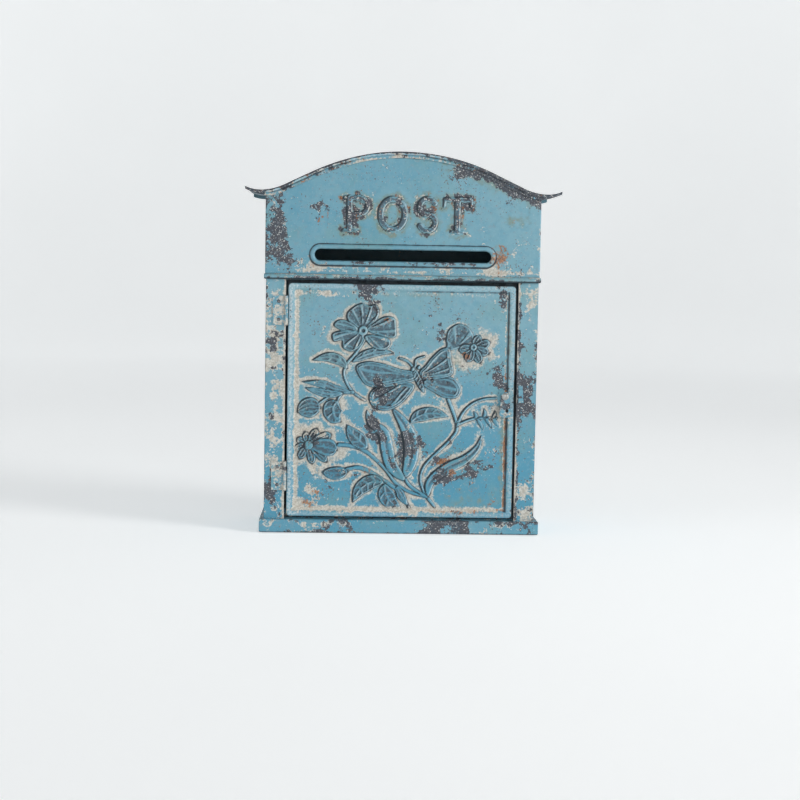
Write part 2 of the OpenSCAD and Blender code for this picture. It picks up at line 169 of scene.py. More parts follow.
def curve(points, steps=10, closed=False):
    """Smooth line through the points, with that many steps between neighbours."""
    p = np.array(points, float)
    count = len(p)
    spans = count if closed else count - 1
    result = []
    for i in range(spans):
        if closed:
            a, b, c, d = p[(i - 1) % count], p[i], p[(i + 1) % count], p[(i + 2) % count]
        else:
            a, b, c, d = p[max(i - 1, 0)], p[i], p[i + 1], p[min(i + 2, count - 1)]
        for t in np.arange(steps) / steps:
            result.append(0.5 * (
                2 * b + (c - a) * t + (2 * a - 5 * b + 4 * c - d) * t * t
                + (3 * b - a - 3 * c + d) * t ** 3))
    if not closed:
        result.append(p[-1])
    return np.array(result)


def rounded(points, radius, steps=4):
    """Open path through the points with its inner corners rounded."""
    p = [np.array(q, float) for q in points]
    result = [p[0]]
    for before, here, after in zip(p, p[1:], p[2:]):
        u, v = before - here, after - here
        reach = min(radius, np.linalg.norm(u) / 2, np.linalg.norm(v) / 2)
        start = here + u / np.linalg.norm(u) * reach
        end = here + v / np.linalg.norm(v) * reach
        for t in np.arange(steps + 1) / steps:
            result.append((1 - t) ** 2 * start + 2 * t * (1 - t) * here + t * t * end)
    result.append(p[-1])
    return np.array(result)


def stepped(path, longest):
    """The path with its long stretches cut into steps no longer than that."""
    result = [path[0]]
    for a, b in zip(path, path[1:]):
        cuts = max(1, math.ceil(np.linalg.norm(b - a) / longest))
        result += [a + (b - a) * (i + 1) / cuts for i in range(cuts)]
    return np.array(result)


def run_length(path):
    """Distance along the path to each of its points."""
    return np.concatenate([[0], np.cumsum(np.linalg.norm(np.diff(path, axis=0), axis=1))])


# ---------------------------------------------------------------- meshes

def grid_quads(rows, cols):
    """Quads of a grid of rows by cols points. They face the way of columns crossed with rows."""
    i = np.arange(rows * cols).reshape(rows, cols)
    return np.stack([i[:-1, :-1], i[:-1, 1:], i[1:, 1:], i[1:, :-1]], -1).reshape(-1, 4)


def used_only(points, quads, values):
    """Drops the points that no quad uses."""
    used, quads = np.unique(quads, return_inverse=True)
    values = {name: value[used] for name, value in values.items()}
    return points[used], quads.reshape(-1, 4), values


def point_normals(points, quads):
    """Direction in which the sheet faces at each point."""
    across = points[quads[:, 2]] - points[quads[:, 0]]
    along = points[quads[:, 3]] - points[quads[:, 1]]
    face = np.cross(across, along)
    normal = np.zeros_like(points)
    for corner in range(4):
        np.add.at(normal, quads[:, corner], face)
    return normal / np.maximum(np.linalg.norm(normal, axis=1), 1e-12)[:, None]


def free_edges(quads):
    """Edges that only one quad has, in that quad's direction."""
    edges = np.concatenate([quads[:, [i, (i + 1) % 4]] for i in range(4)])
    _, first, uses = np.unique(np.sort(edges, 1), axis=0, return_index=True, return_counts=True)
    return edges[first[uses == 1]]


def shell(points, quads, values):
    """Closes an open sheet into a solid, with a second skin behind it and a wall round each free edge."""
    count = len(points)
    behind = points - point_normals(points, quads) * SHEET
    rim = free_edges(quads)
    wall = np.stack([rim[:, 1], rim[:, 0], rim[:, 0] + count, rim[:, 1] + count], 1)
    values = {name: np.concatenate([value, value]) for name, value in values.items()}
    values["inside"] = np.concatenate([np.zeros(count), np.ones(count)])
    return np.vstack([points, behind]), np.vstack([quads, quads[:, ::-1] + count, wall]), values


def piece(name, points, faces, body, material, values, replaced=(), sharp=38):
    """A mesh piece from points in mm, riding on a body, with its paint values per point."""
    mesh = bpy.data.meshes.new(name)
    mesh.from_pydata(np.asarray(points) * MM, [], [tuple(int(i) for i in f) for f in faces])
    mesh.update()
    for key, value in values.items():
        attribute = mesh.attributes.new(key, "FLOAT", "POINT")
        attribute.data.foreach_set("value", np.asarray(value, np.float32))
    mesh.shade_smooth()
    mesh.set_sharp_from_angle(angle=math.radians(sharp))
    mesh.materials.append(material)
    obj = bpy.data.objects.new(name, mesh)
    bpy.context.scene.collection.objects.link(obj)
    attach(obj, body)
    if replaced:
        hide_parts(*replaced)


def sheet_piece(name, points, quads, material, values, replaced=(), sharp=38):
    """A piece of the case from an open sheet, which is given its thickness."""
    points, quads, values = shell(*used_only(points, quads, values))
    piece(name, points, quads, "case", material, values, replaced, sharp)


def closed_quads(rows, cols):
    """Quads of a grid whose last column joins its first."""
    i = np.arange(rows * cols).reshape(rows, cols)
    j = np.roll(i, -1, 1)
    return np.stack([i[:-1], j[:-1], j[1:], i[1:]], -1).reshape(-1, 4)


def loft(sections):
    """Solid through closed sections of equal point count, with its ends capped."""
    sections = np.array(sections)
    rows, cols = sections.shape[:2]
    faces = [list(q) for q in closed_quads(rows, cols)]
    faces.append(list(range(cols))[::-1])
    faces.append(list(range((rows - 1) * cols, rows * cols)))
    return sections.reshape(-1, 3), faces


def swept(path, stations):
    """A path repeated at stations: each point's place on the path, its station, and the quads."""
    place, station = np.meshgrid(np.arange(len(path)), stations)
    return place.ravel(), station.ravel().astype(float), grid_quads(len(stations), len(path))


def pull_onto(points, chosen, centre_x, centre_z, radius):
    """Moves the chosen points, in X and Z, to that distance from their centres."""
    away = np.stack([points[chosen, 0] - centre_x, points[chosen, 2] - centre_z], 1)
    away /= np.maximum(np.linalg.norm(away, axis=1), 1e-6)[:, None]
    points[chosen, 0] = centre_x + away[:, 0] * radius
    points[chosen, 2] = centre_z + away[:, 1] * radius


# ---------------------------------------------------------------- pressed relief

FAR = 50.0
CUTS = np.linspace(0, 1, 41)


class Relief:
    """Heights and paint fields of a pressed sheet over points x, z in mm.

    outside is the distance to the nearest shape, line the groove round each shape, which is
    painted dark as shade with some dust, and cell the hollows between its ribs.
    """

    def __init__(self, x, z):
        self.x, self.z = x, z
        self.height = np.zeros_like(x)
        self.outside = np.full_like(x, FAR)
        self.line = np.zeros_like(x)
        self.cell = np.zeros_like(x)

    def near(self, outline, margin=7.0):
        """Which points lie near an outline."""
        low, high = outline.min(0) - margin, outline.max(0) + margin
        return (self.x > low[0]) & (self.x < high[0]) & (self.z > low[1]) & (self.z < high[1])

    def stamp(self, where, distance, height, cell):
        """Lays a shape over the earlier ones. distance is negative inside it."""
        cover = ramp(-distance, -0.25, 0.35)
        groove = bell(distance - 0.8, 0.7)
        old = self.height[where]
        self.height[where] = old * (1 - cover) + height * cover - 0.3 * groove * ramp(old, 0.2, 1.0)
        line = bell(distance - 0.3, 0.75)
        self.line[where] = np.maximum(self.line[where] * (1 - cover), line)
        self.cell[where] = self.cell[where] * (1 - cover) + cell * cover
        self.outside[where] = np.minimum(self.outside[where], distance)

    def tones(self, shape):
        """Painted shade with some dust on the flanks that face left and up, and a painted highlight with
        some rub on those that face right and down, as two values from 0 to 1.
        """
        gx, gz = slopes(*(a.reshape(shape) for a in (self.height, self.x, self.z)))
        lean = (gx * 0.85 - gz * 0.4).ravel()
        return ramp(lean, 0.15, 0.9), ramp(-lean, 0.2, 1.0)

    def blade(self, points, width, kind, height=2.1, ribs=5):
        """A leaf, petal, stem or other long shape along a spine."""
        spine = curve(points, 8)
        total = run_length(spine)[-1]
        where = self.near(spine, width / 2 + 7)
        t, side = along(spine, self.x[where], self.z[where])
        half = width / 2 * PROFILES[kind](t)
        lean = (width / 2) * np.gradient(PROFILES[kind](CUTS), CUTS[1]) / total
        lean = np.interp(t, CUTS, np.clip(lean, -2.5, 2.5))
        distance = (np.abs(side) - half) / np.sqrt(1 + lean ** 2)
        share = side / np.maximum(half, 0.4)
        inner = ramp(-distance, 0.7, 1.7)
        rib = RIBS[kind](t, side, share, ribs)
        if kind == "stem":
            top = height * np.sqrt(np.clip(1 - share ** 2, 0.08, 1))
            cell = np.zeros_like(top)
        else:
            top = height * ramp(-distance, -0.4, 1.2) * (1 - 0.6 * inner * (1 - rib))
            cell = inner * (1 - rib)
        self.stamp(where, distance, top, cell)

    def patch(self, points, root, height=2.4, ribs=9, band=0.0):
        """A wing or wide petal: a smooth closed outline with ribs that run from a root."""
        outline = curve(points, 8, closed=True)
        where = self.near(outline)
        x, z = self.x[where], self.z[where]
        distance = outline_distance(outline, x, z)
        angle = np.arctan2(z - root[1], x - root[0])
        reach = np.hypot(x - root[0], z - root[1])
        wave = np.cos(angle * ribs + 0.6 * np.sin(reach / 9))
        rib = 0.85 * ramp(wave, 0.6, 1.0) * ramp(reach, 3, 9)
        inner = ramp(-distance, 0.8, 1.9)
        if band:
            rib = np.maximum(rib * ramp(-distance, band, band + 2), bell(-distance - band, 0.8))
        top = height * ramp(-distance, -0.4, 1.3) * (1 - 0.6 * inner * (1 - rib))
        self.stamp(where, distance, top, inner * (1 - rib))

    def boss(self, centre, radius, height=2.0, hole=0.0):
        """A round knob, with a dimple where hole gives its radius."""
        centre = np.array([centre], float)
        where = self.near(centre, radius + 7)
        reach = np.hypot(self.x[where] - centre[0, 0], self.z[where] - centre[0, 1])
        distance = reach - radius
        top = height * np.sqrt(np.clip(1 - (reach / (radius * 1.15)) ** 2, 0.1, 1))
        cell = np.zeros_like(top)
        if hole:
            dimple = ramp(hole - reach, -0.5, 0.5)
            top -= height * 0.8 * dimple
            cell = dimple * 1.5
        self.stamp(where, distance, top, cell)


def slopes(height, x, z):
    """Slope of the height along x and z, for arrays over a grid that may be stretched."""
    hi, hj = np.gradient(height)
    xi, xj = np.gradient(x)
    zi, zj = np.gradient(z)
    size = xi * zj - zi * xj
    size = np.where(np.abs(size) < 1e-3, np.inf, size)
    return (hi * zj - zi * hj) / size, (xi * hj - xj * hi) / size


def along(line, x, z):
    """Share of the way along a line and signed distance to its left, for points x, z."""
    reach = run_length(line)
    best = np.full(x.shape, np.inf)
    side = np.zeros_like(x)
    share = np.zeros_like(x)
    for i in range(len(line) - 1):
        a = line[i]
        step = line[i + 1] - a
        size = math.hypot(*step)
        t = np.clip(((x - a[0]) * step[0] + (z - a[1]) * step[1]) / size ** 2, 0, 1)
        dx, dz = x - a[0] - t * step[0], z - a[1] - t * step[1]
        distance = np.hypot(dx, dz)
        closer = distance < best
        best = np.where(closer, distance, best)
        side = np.where(closer, np.sign(step[0] * dz - step[1] * dx), side)
        share = np.where(closer, (reach[i] + t * size) / reach[-1], share)
    return share, best * side


def outline_distance(outline, x, z):
    """Signed distance to a closed outline, negative inside."""
    best = np.full(x.shape, np.inf)
    odd = np.zeros(x.shape, bool)
    for a, b in zip(outline, np.roll(outline, -1, 0)):
        step = b - a
        t = np.clip(((x - a[0]) * step[0] + (z - a[1]) * step[1]) / max(step @ step, 1e-9), 0, 1)
        best = np.minimum(best, np.hypot(x - a[0] - t * step[0], z - a[1] - t * step[1]))
        spans = (a[1] > z) != (b[1] > z)
        rise = step[1] if abs(step[1]) > 1e-9 else 1e-9
        odd ^= spans & (x < a[0] + (z - a[1]) * step[0] / rise)
    return np.where(odd, -best, best)


def bulge(t, lean, fullness):
    """Half width of a pointed shape, as a share, at the share t of its length."""
    return np.sin(math.pi * np.clip(t, 0, 1) ** lean) ** fullness


def petal_profile(t):
    """Half width of a petal: a slow swell from its root and a round tip."""
    waist = np.sin(math.pi / 2 * np.clip(t / 0.68, 0, 1)) ** 0.75
    tip = np.sqrt(np.clip(1 - (np.clip(t - 0.68, 0, 1) / 0.32) ** 2, 0, 1))
    return waist * tip


PROFILES = {
    "leaf": lambda t: bulge(t, 0.8, 0.85), "petal": petal_profile,
    "grass": lambda t: bulge(t, 0.75, 0.6), "bud": lambda t: bulge(t, 0.9, 0.55),
    "body": lambda t: bulge(t, 0.9, 0.55), "stem": lambda t: 1.0 - 0.35 * t}


# Ribs, from 0 to 1, by share t of the length, distance from the spine in mm and as a share of
# the half width, and how many ribs there are

def leaf_ribs(t, side, share, count):
    middle = bell(side, 0.75)
    wave = np.cos(2 * math.pi * (t * count - np.abs(share) * 0.55))
    return np.maximum(middle, 0.75 * ramp(wave, 0.55, 1.0))


def petal_ribs(t, side, share, count):
    return 0.85 * ramp(np.cos(math.pi * share * count / 2), 0.5, 1.0) * ramp(t, 0.12, 0.4)


def grass_ribs(t, side, share, count):
    return 1 - bell(side, 1.5) * ramp(t, 0.03, 0.2)


def bud_ribs(t, side, share, count):
    return 0.7 * ramp(np.cos(math.pi * (share * count + 0.4 * t)), 0.2, 1.0)


def body_ribs(t, side, share, count):
    wave = np.cos(2 * math.pi * (t * count + share * 0.5))
    return 0.75 * ramp(wave, 0.3, 1.0)


def no_ribs(t, side, share, count):
    return np.zeros_like(t)


RIBS = {
    "leaf": leaf_ribs, "petal": petal_ribs, "grass": grass_ribs,
    "bud": bud_ribs, "body": body_ribs, "stem": no_ribs}


def draw_plants(relief):
    """Flowers, leaves and a butterfly on the door, in mm from the middle of the base."""
    stems = [
        (2.6, [(-37, 196), (-46, 181), (-55, 170), (-57, 158), (-49, 143), (-36, 134)]),
        (2.4, [(-48, 142), (-62, 141), (-74, 136), (-84, 129)]),
        (2.2, [(-59, 141), (-63, 135), (-64, 128)]),
        (2.4, [(46, 196), (46, 188), (43, 182)]),
        (2.8, [(47, 138), (57, 110), (51, 96), (33, 78), (24, 67), (21, 55), (25, 42), (34, 29)]),
        (2.4, [(57, 110), (63, 123), (72, 132), (84, 137), (96, 138)]),
        (2.0, [(58, 111), (74, 117), (97, 118)]),
        (2.8, [(-62, 89), (-50, 88), (-37, 84), (-25, 75), (-14, 64), (-4, 51), (10, 42), (28, 37)]),
        (3.2, [(-54, 64), (-42, 66), (-30, 62), (-17, 54), (-4, 45), (6, 33), (10, 26)]),
        (2.6, [(28, 37), (36, 27)]),
        (2.6, [(4, 57), (12, 47), (28, 37)]),
        (1.8, [(12, 168), (6, 174), (-2, 177)]),
        (1.8, [(14, 169), (15, 176), (23, 179)]),
    ]
    for width, points in stems:
        relief.blade(points, width + 0.8, "stem", height=1.7)

    leaves = [
        (9, 4, [(-49, 173), (-36, 180), (-22, 183), (-8, 182)]),
        (10, 4, [(-54, 166), (-62, 174), (-74, 177), (-89, 174)]),
        (8, 4, [(-50, 142), (-66, 145), (-80, 150), (-99, 152)]),
        (8, 4, [(-58, 141), (-70, 140), (-82, 142), (-96, 146)]),
        (13, 5, [(10, 112), (18, 119), (33, 122), (48, 119)]),
        (15, 5, [(-16, 51), (-28, 52), (-40, 44), (-47, 31)]),
        (16, 4, [(-15, 50), (-14, 40), (-8, 31), (2, 24)]),
        (8, 4, [(-3, 48), (2, 38), (9, 28)]),
        (20, 4, [(-64, 133), (-68, 126), (-66, 117), (-60, 112)]),
        (15, 3, [(-33, 86), (-40, 92), (-48, 100), (-54, 109)]),
    ]
    for width, ribs, points in leaves:
        relief.blade(points, width, "leaf", ribs=ribs)

    grasses = [
        (15, [(5, 57), (10, 72), (11, 90), (5, 108), (-8, 126)]),
        (13, [(5, 54), (-8, 68), (-13, 84), (-17, 101), (-30, 112), (-34, 124)]),
        (11, [(29, 38), (31, 52), (47, 66), (66, 76), (78, 88), (82, 100)]),
    ]
    for width, points in grasses:
        relief.blade(points, width, "grass")

    # Small leaves above and below the twig on the right
    for start, end in [
            ((76, 117), (74, 124)), ((84, 118), (84, 127)), ((93, 118), (95, 125)),
            ((77, 117), (83, 106)), ((85, 118), (92, 108)), ((92, 118), (99, 109))]:
        middle = ((start[0] + end[0]) / 2 + 1, (start[1] + end[1]) / 2)
        relief.blade([start, middle, end], 3.6, "leaf", height=1.3, ribs=2)

    relief.blade([(-81, 126), (-92, 126), (-103, 122)], 20, "bud", ribs=5)
    relief.blade([(-53, 62), (-64, 60), (-77, 61)], 13, "bud", ribs=3)

    flower_left(relief)
    flower_right(relief)
    daisy(relief)
    butterfly(relief)


def flower_left(relief):
    """The big open flower near the top: broad petals round a dimpled heart."""
    heart = (-39, 204)
    petals = [
        (15, [(-42, 206), (-53, 212), (-55, 221), (-48, 228), (-41, 231), (-34, 229), (-26, 230),
              (-23, 222), (-27, 213), (-36, 206)]),
        (13, [(-44, 206), (-54, 213), (-64, 214), (-68, 209), (-60, 204), (-48, 203)]),
        (13, [(-42, 202), (-55, 204), (-69, 201), (-68, 193), (-60, 194), (-59, 187), (-51, 183),
              (-43, 187), (-38, 196)]),
        (17, [(-37, 199), (-32, 190), (-22, 185), (-13, 188), (-12, 195), (-24, 199)]),
        (16, [(-35, 205), (-28, 212), (-18, 218), (-8, 217), (-6, 208), (-7, 198), (-20, 199)]),
    ]
    for ribs, outline in petals:
        relief.patch(outline, heart, ribs=ribs)
    relief.boss(heart, 4.8, height=2.6, hole=2.0)


def narrow_petals(relief, heart, tips, height=2.1, lift=0):
    """Petals from a heart to their tips. A tip is x, z and the width of its petal."""
    for x, z, width in tips:
        middle = ((x + heart[0]) / 2, (z + heart[1]) / 2 + lift)
        relief.blade([heart, middle, (x, z)], width, "petal", height=height, ribs=5)


def flower_right(relief):
    """The flower on the right: one broad petal behind six narrow ones."""
    heart = (72, 189)
    relief.patch(
        [(70, 191), (60, 189), (48, 186), (45, 196), (47, 206), (56, 212), (66, 209), (72, 200)],
        (55, 188), height=1.9, ribs=7)
    tips = [(78, 200, 9), (88, 194, 9), (87, 183, 9), (79, 174, 9), (66, 175, 10), (58, 186, 9)]
    narrow_petals(relief, heart, tips, height=2.3)
    relief.boss(heart, 3.4, height=2.6, hole=1.3)


def daisy(relief):
    """The low flower on the left."""
    heart = (-92, 88)
    tips = [
        (-104, 94, 7), (-106, 84, 7), (-101, 75, 8), (-88, 70, 8), (-74, 72, 8),
        (-96, 101, 7), (-84, 104, 8), (-70, 99, 10), (-64, 84, 17)]
    narrow_petals(relief, heart, tips, lift=1)
    relief.boss(heart, 4.5)


def butterfly(relief):
    """Four banded wings, a ribbed body and two eyes. The ribs run out from one root."""
    root = (16, 158)
    wings = [
        (19, 3.2, [(13, 150), (6, 137), (-4, 128), (-16, 124), (-28, 128), (-32, 138), (-26, 147),
                   (-8, 153)]),
        (23, 3.2, [(13, 163), (-2, 166), (-18, 171), (-34, 173), (-45, 169), (-43, 160), (-35, 150),
                   (-22, 147), (-4, 150), (14, 155)]),
        (19, 3.4, [(20, 152), (32, 144), (44, 138), (56, 138), (60, 147), (53, 157), (40, 160), (24, 158)]),
        (23, 3.0, [(18, 163), (24, 170), (31, 179), (40, 187), (48, 187), (50, 176), (52, 163), (44, 158),
                   (22, 156)]),
    ]
    for ribs, band, outline in wings:
        relief.patch(outline, root, ribs=ribs, band=band)
    relief.blade([(13, 166), (17, 156), (23, 143)], 6.4, "body", height=2.7, ribs=6)
    for eye in [(11.5, 166), (17.5, 168)]:
        relief.boss(eye, 1.9, height=2.6)


# ---------------------------------------------------------------- paint

# Teal lit from above and teal in shade, which the paint blends between as painted light; the deep one also
# mottles it
TEAL_LIT = (0.180, 0.356, 0.428)
TEAL_DEEP_AND_SHADED = (0.064, 0.266, 0.382)
TEAL_PALE = (0.430, 0.545, 0.590)
# Pale teal of painted highlights on lit flanks and rims, partly worn paint
HIGHLIGHT_PALE = (0.540, 0.620, 0.640)
TEAL_GREEN = (0.150, 0.300, 0.300)
SLATE = (0.062, 0.108, 0.142)
CREAM = (0.430, 0.390, 0.325)
CREAM_PALE = (0.600, 0.575, 0.515)
BARE = (0.066, 0.080, 0.100)
BARE_WARM = (0.074, 0.078, 0.092)
BARE_SPECK = (0.230, 0.275, 0.310)
SALT = (0.640, 0.640, 0.610)
# Near black of painted shade, with some dust, in grooves, gaps, folds and undersides
SHADE_AND_DUST_DARK = (0.020, 0.032, 0.042)
RUST = (0.400, 0.165, 0.060)
RUST_DARK = (0.150, 0.065, 0.035)
FRECKLE = (0.130, 0.080, 0.050)
GRIME = (0.190, 0.235, 0.170)
INSIDE = (0.05, 0.11, 0.14)


class Nodes:
    """Short calls for building a node material."""

    def __init__(self, name):
        self.material = bpy.data.materials.new(name)
        self.material.use_nodes = True
        self.tree = self.material.node_tree
        self.tree.nodes.clear()
        self.shader = self.tree.nodes.new("ShaderNodeBsdfPrincipled")
        output = self.tree.nodes.new("ShaderNodeOutputMaterial")
        self.link(self.shader.outputs[0], output.inputs[0])
        self.place = self.tree.nodes.new("ShaderNodeTexCoord").outputs["Object"]

    def link(self, source, target):
        self.tree.links.new(source, target)

    def feed(self, socket, value):
        """Sets a socket to a value, or links it."""
        if isinstance(value, bpy.types.NodeSocket):
            self.link(value, socket)
        elif isinstance(value, tuple) and len(value) == 3:
            socket.default_value = (*value, 1)
        else:
            socket.default_value = value

    def maths(self, what, a, b):
        node = self.tree.nodes.new("ShaderNodeMath")
        node.operation = what
        self.feed(node.inputs[0], a)
        self.feed(node.inputs[1], b)
        return node.outputs[0]

    def times(self, a, b):
        return self.maths("MULTIPLY", a, b)

    def add(self, *terms):
        """Sum of terms. A term is a value, or a pair of a value and its weight."""
        parts = [self.times(*term) if isinstance(term, tuple) else term for term in terms]
        total = parts[0]
        for part in parts[1:]:
            total = self.maths("ADD", total, part)
        return total

    def value(self, name):
        """A paint value of the mesh, or 0 where the mesh has none."""
        node = self.tree.nodes.new("ShaderNodeAttribute")
        node.attribute_name = name
        return node.outputs["Fac"]

    def noise(self, size, detail, rough, shift=0.0):
        """Noise from 0 to 1 with features of that size in mm."""
        place = self.place
        if shift:
            mapping = self.tree.nodes.new("ShaderNodeMapping")
            self.link(place, mapping.inputs["Vector"])
            mapping.inputs["Location"].default_value = (shift, shift * 0.7, -shift)
            place = mapping.outputs[0]
        node = self.tree.nodes.new("ShaderNodeTexNoise")
        self.link(place, node.inputs["Vector"])
        node.inputs["Scale"].default_value = 1 / (size * MM)
        node.inputs["Detail"].default_value = detail
        node.inputs["Roughness"].default_value = rough
        return node.outputs[0]

    def ramp(self, value, start, end):
        """Smooth step from 0 at start to 1 at end."""
        node = self.tree.nodes.new("ShaderNodeMapRange")
        node.interpolation_type = "SMOOTHSTEP"
        self.feed(node.inputs["Value"], value)
        node.inputs["From Min"].default_value = start
        node.inputs["From Max"].default_value = end
        return node.outputs[0]

    def mix(self, factor, a, b):
        """Colour a at factor 0, colour b at factor 1."""
        node = self.tree.nodes.new("ShaderNodeMix")
        node.data_type = "RGBA"
        self.feed(node.inputs[0], factor)
        self.feed(node.inputs[6], a)
        self.feed(node.inputs[7], b)
        return node.outputs[2]

    def coats(self, colour, layers):
        """Lays colours over one another. A layer is its colour, its cover and its strength."""
        for over, cover, strength in layers:
            colour = self.mix(self.times(cover, strength), colour, over)
        return colour

    def mix_value(self, factor, a, b):
        """Value a at factor 0, value b at factor 1."""
        node = self.tree.nodes.new("ShaderNodeMix")
        self.feed(node.inputs[0], factor)
        self.feed(node.inputs[2], a)
        self.feed(node.inputs[3], b)
        return node.outputs[0]

    def bump(self, height, depth):
        """Raises the surface by the height times the depth in mm."""
        node = self.tree.nodes.new("ShaderNodeBump")
        node.inputs["Distance"].default_value = depth * MM
        self.link(height, node.inputs["Height"])
        self.link(node.outputs[0], self.shader.inputs["Normal"])


def teal_coat(n, shift, tone, gather, lump, grit):
    """The teal itself: clouded, worn, stained and freckled, and dark in the hollows of the relief. It is
    painted lighter where the height value puts more light, and pale on lit flanks as a painted highlight.
    """
    cloud = n.noise(50, 3, 0.5, shift)
    worn = n.noise(4.2, 3, 0.6, shift + 37)
    green = n.ramp(n.noise(34, 4, 0.6, shift + 41), 0.46, 0.68)
    stain = n.ramp(n.add(n.value("grime"), (lump, 1.1), (worn, 0.5)), 1.00, 1.45)
    etched = n.ramp(n.add((worn, 0.6), (grit, 0.4)), 0.34, 0.56)
    freckle = n.ramp(n.add((n.noise(1.9, 1, 0.5, shift + 23), 0.7), (gather, 0.3)), 0.628, 0.66)
    # Painted light: lighter where the height value says more light falls, clouded by noise
    light = n.ramp(n.add((cloud, 0.5), (n.value("height"), 0.5), tone), 0.2, 0.85)
    return n.coats(n.mix(light, TEAL_DEEP_AND_SHADED, TEAL_LIT), [
        (TEAL_DEEP_AND_SHADED, n.ramp(lump, 0.40, 0.70), 0.30),
        (TEAL_GREEN, green, 0.40),
        (TEAL_PALE, n.ramp(grit, 0.52, 0.68), 0.12),
        (BARE_SPECK, n.ramp(worn, 0.55, 0.68), 0.30),
        (GRIME, stain, 0.75),
        (SLATE, n.value("cell"), etched),
        (FRECKLE, freckle, 0.75),
        # Painted highlight, partly worn paint, on lit flanks and rims
        (HIGHLIGHT_PALE, n.value("highlight_and_rub"), n.ramp(grit, 0.30, 0.62))])


def old_paint(name, wear=0.0, shift=0.0, inner=0.0, primed=0.0, tone=0.0):
    """Teal paint over cream primer on dark tin.

    wear and primed move the shares of tin and primer, tone lightens the teal, inner darkens
    the skin behind, and shift moves the noise so that no two paints are worn alike.
    """
    n = Nodes(name)
    gather = n.noise(28, 3, 0.55, shift + 2)
    lump = n.noise(6.5, 2.5, 0.5, shift + 3)
    speck = n.noise(1.15, 1.5, 0.5, shift + 7)
    grit = n.add((n.noise(2.3, 2, 0.5, shift + 5), 0.6), (speck, 0.4))

    # Where the tin is bare, where primer shows and where it rusts
    level = n.add((gather, 0.42), (lump, 0.36), (grit, 0.22))
    level = n.add(level, (n.value("bare"), 0.22), wear)
    bare = n.ramp(level, 0.612, 0.632)
    border = n.times(n.ramp(level, 0.575, 0.612), n.maths("SUBTRACT", 1.0, bare))
    rub = n.add((n.noise(13, 4, 0.6, shift + 13), 0.5), (lump, 0.2), (grit, 0.3))
    cream = n.ramp(n.add(rub, (n.value("cream"), 0.22), (border, 0.045), primed), 0.600, 0.645)
    corroded = n.add(
        (n.noise(8, 4, 0.6, shift + 19), 0.6), (grit, 0.4), (n.value("rust"), 0.26), (border, 0.03))
    rust = n.ramp(corroded, 0.640, 0.715)
    pitted = n.add(
        n.noise(1.4, 1, 0.5, shift + 31), (n.ramp(level, 0.56, 0.63), 0.14), (n.value("cell"), 0.03))
    salt = n.ramp(pitted, 0.785, 0.815)
    halo = n.ramp(n.add(n.value("halo"), (grit, 1.5), (lump, 0.9)), 1.40, 1.95)
    # Painted shade, with some dust, where the line value is high: grooves, gaps, folds and undersides
    dark = n.ramp(n.add(n.value("line"), (lump, 0.7), (grit, 0.3)), 0.76, 1.30)

    primer = n.mix(n.ramp(grit, 0.42, 0.60), CREAM, CREAM_PALE)
    metal = n.mix(n.ramp(lump, 0.4, 0.6), BARE, BARE_WARM)
    scratched = n.ramp(n.noise(1.9, 1, 0.5, shift + 29), 0.56, 0.68)
    metal = n.coats(metal, [(BARE_SPECK, scratched, 0.5)])
    oxide = n.mix(n.ramp(speck, 0.40, 0.60), RUST_DARK, RUST)
    layers = [
        (primer, halo, 0.9), (primer, cream, 0.92), (metal, bare, 1.0), (SALT, salt, 0.8),
        (oxide, rust, 0.85), (SHADE_AND_DUST_DARK, dark, 0.95)]
    if inner:
        layers.append((INSIDE, n.value("inside"), inner))
    colour = n.coats(teal_coat(n, shift, tone, gather, lump, grit), layers)
    n.link(colour, n.shader.inputs["Base Color"])

    n.link(n.times(bare, 0.35), n.shader.inputs["Metallic"])
    shine = n.mix_value(cream, n.mix_value(n.ramp(lump, 0.3, 0.7), 0.40, 0.55), 0.75)
    n.link(n.mix_value(rust, n.mix_value(bare, shine, 0.50), 0.9), n.shader.inputs["Roughness"])
    n.bump(n.add((cream, -0.5), (bare, -0.7), (rust, 0.5), (grit, 0.5), (lump, 1.2)), 0.2)
    return n.material


def plain_metal(name, colour, dull, shift=0.0):
    """Tarnished steel with specks of rust and leftover paint."""
    n = Nodes(name)
    middle = n.noise(3.5, 5, 0.6, shift)
    fine = n.noise(1.0, 3, 0.6, shift + 3)
    tone = n.mix(n.ramp(middle, 0.35, 0.65), colour, tuple(c * 0.55 for c in colour))
    tone = n.mix(n.ramp(fine, 0.58, 0.66), tone, TEAL_PALE)
    rust = n.ramp(n.add((middle, 0.6), (fine, 0.4)), 0.60, 0.68)
    n.link(n.mix(rust, tone, RUST), n.shader.inputs["Base Color"])
    n.link(n.mix_value(rust, 0.75, 0.0), n.shader.inputs["Metallic"])
    n.link(n.mix_value(n.ramp(fine, 0.3, 0.7), dull, dull + 0.25), n.shader.inputs["Roughness"])
    n.bump(n.add(middle, (fine, 0.6)), 0.12)
    return n.material


DOOR_PAINT = old_paint("door_paint", 0.0, 0.0, 0.6)
CASE_PAINT = old_paint("case_paint", 0.005, 0.8, 0.6)
HEADER_PAINT = old_paint("header_paint", -0.005, 1.7, 0.6)
ROOF_PAINT = old_paint("roof_paint", 0.045, 2.3, 0.6)
PLINTH_PAINT = old_paint("plinth_paint", 0.015, 3.1, 0.6)
INNER_PAINT = old_paint("inner_paint", 0.03, 4.9)
HINGE_PAINT = old_paint("hinge_paint", 0.035, 5.7, primed=0.13, tone=0.35)
LATCH_PAINT = old_paint("latch_paint", 0.085, 6.1, primed=0.075, tone=0.3)
STEEL = plain_metal("fastener_steel", (0.20, 0.20, 0.21), 0.38)
BRIGHT_STEEL = plain_metal("rubbed_steel", (0.62, 0.62, 0.58), 0.26, 3.0)


# Worn places on the front, in mm: centre x, centre z, half width, half height, strength

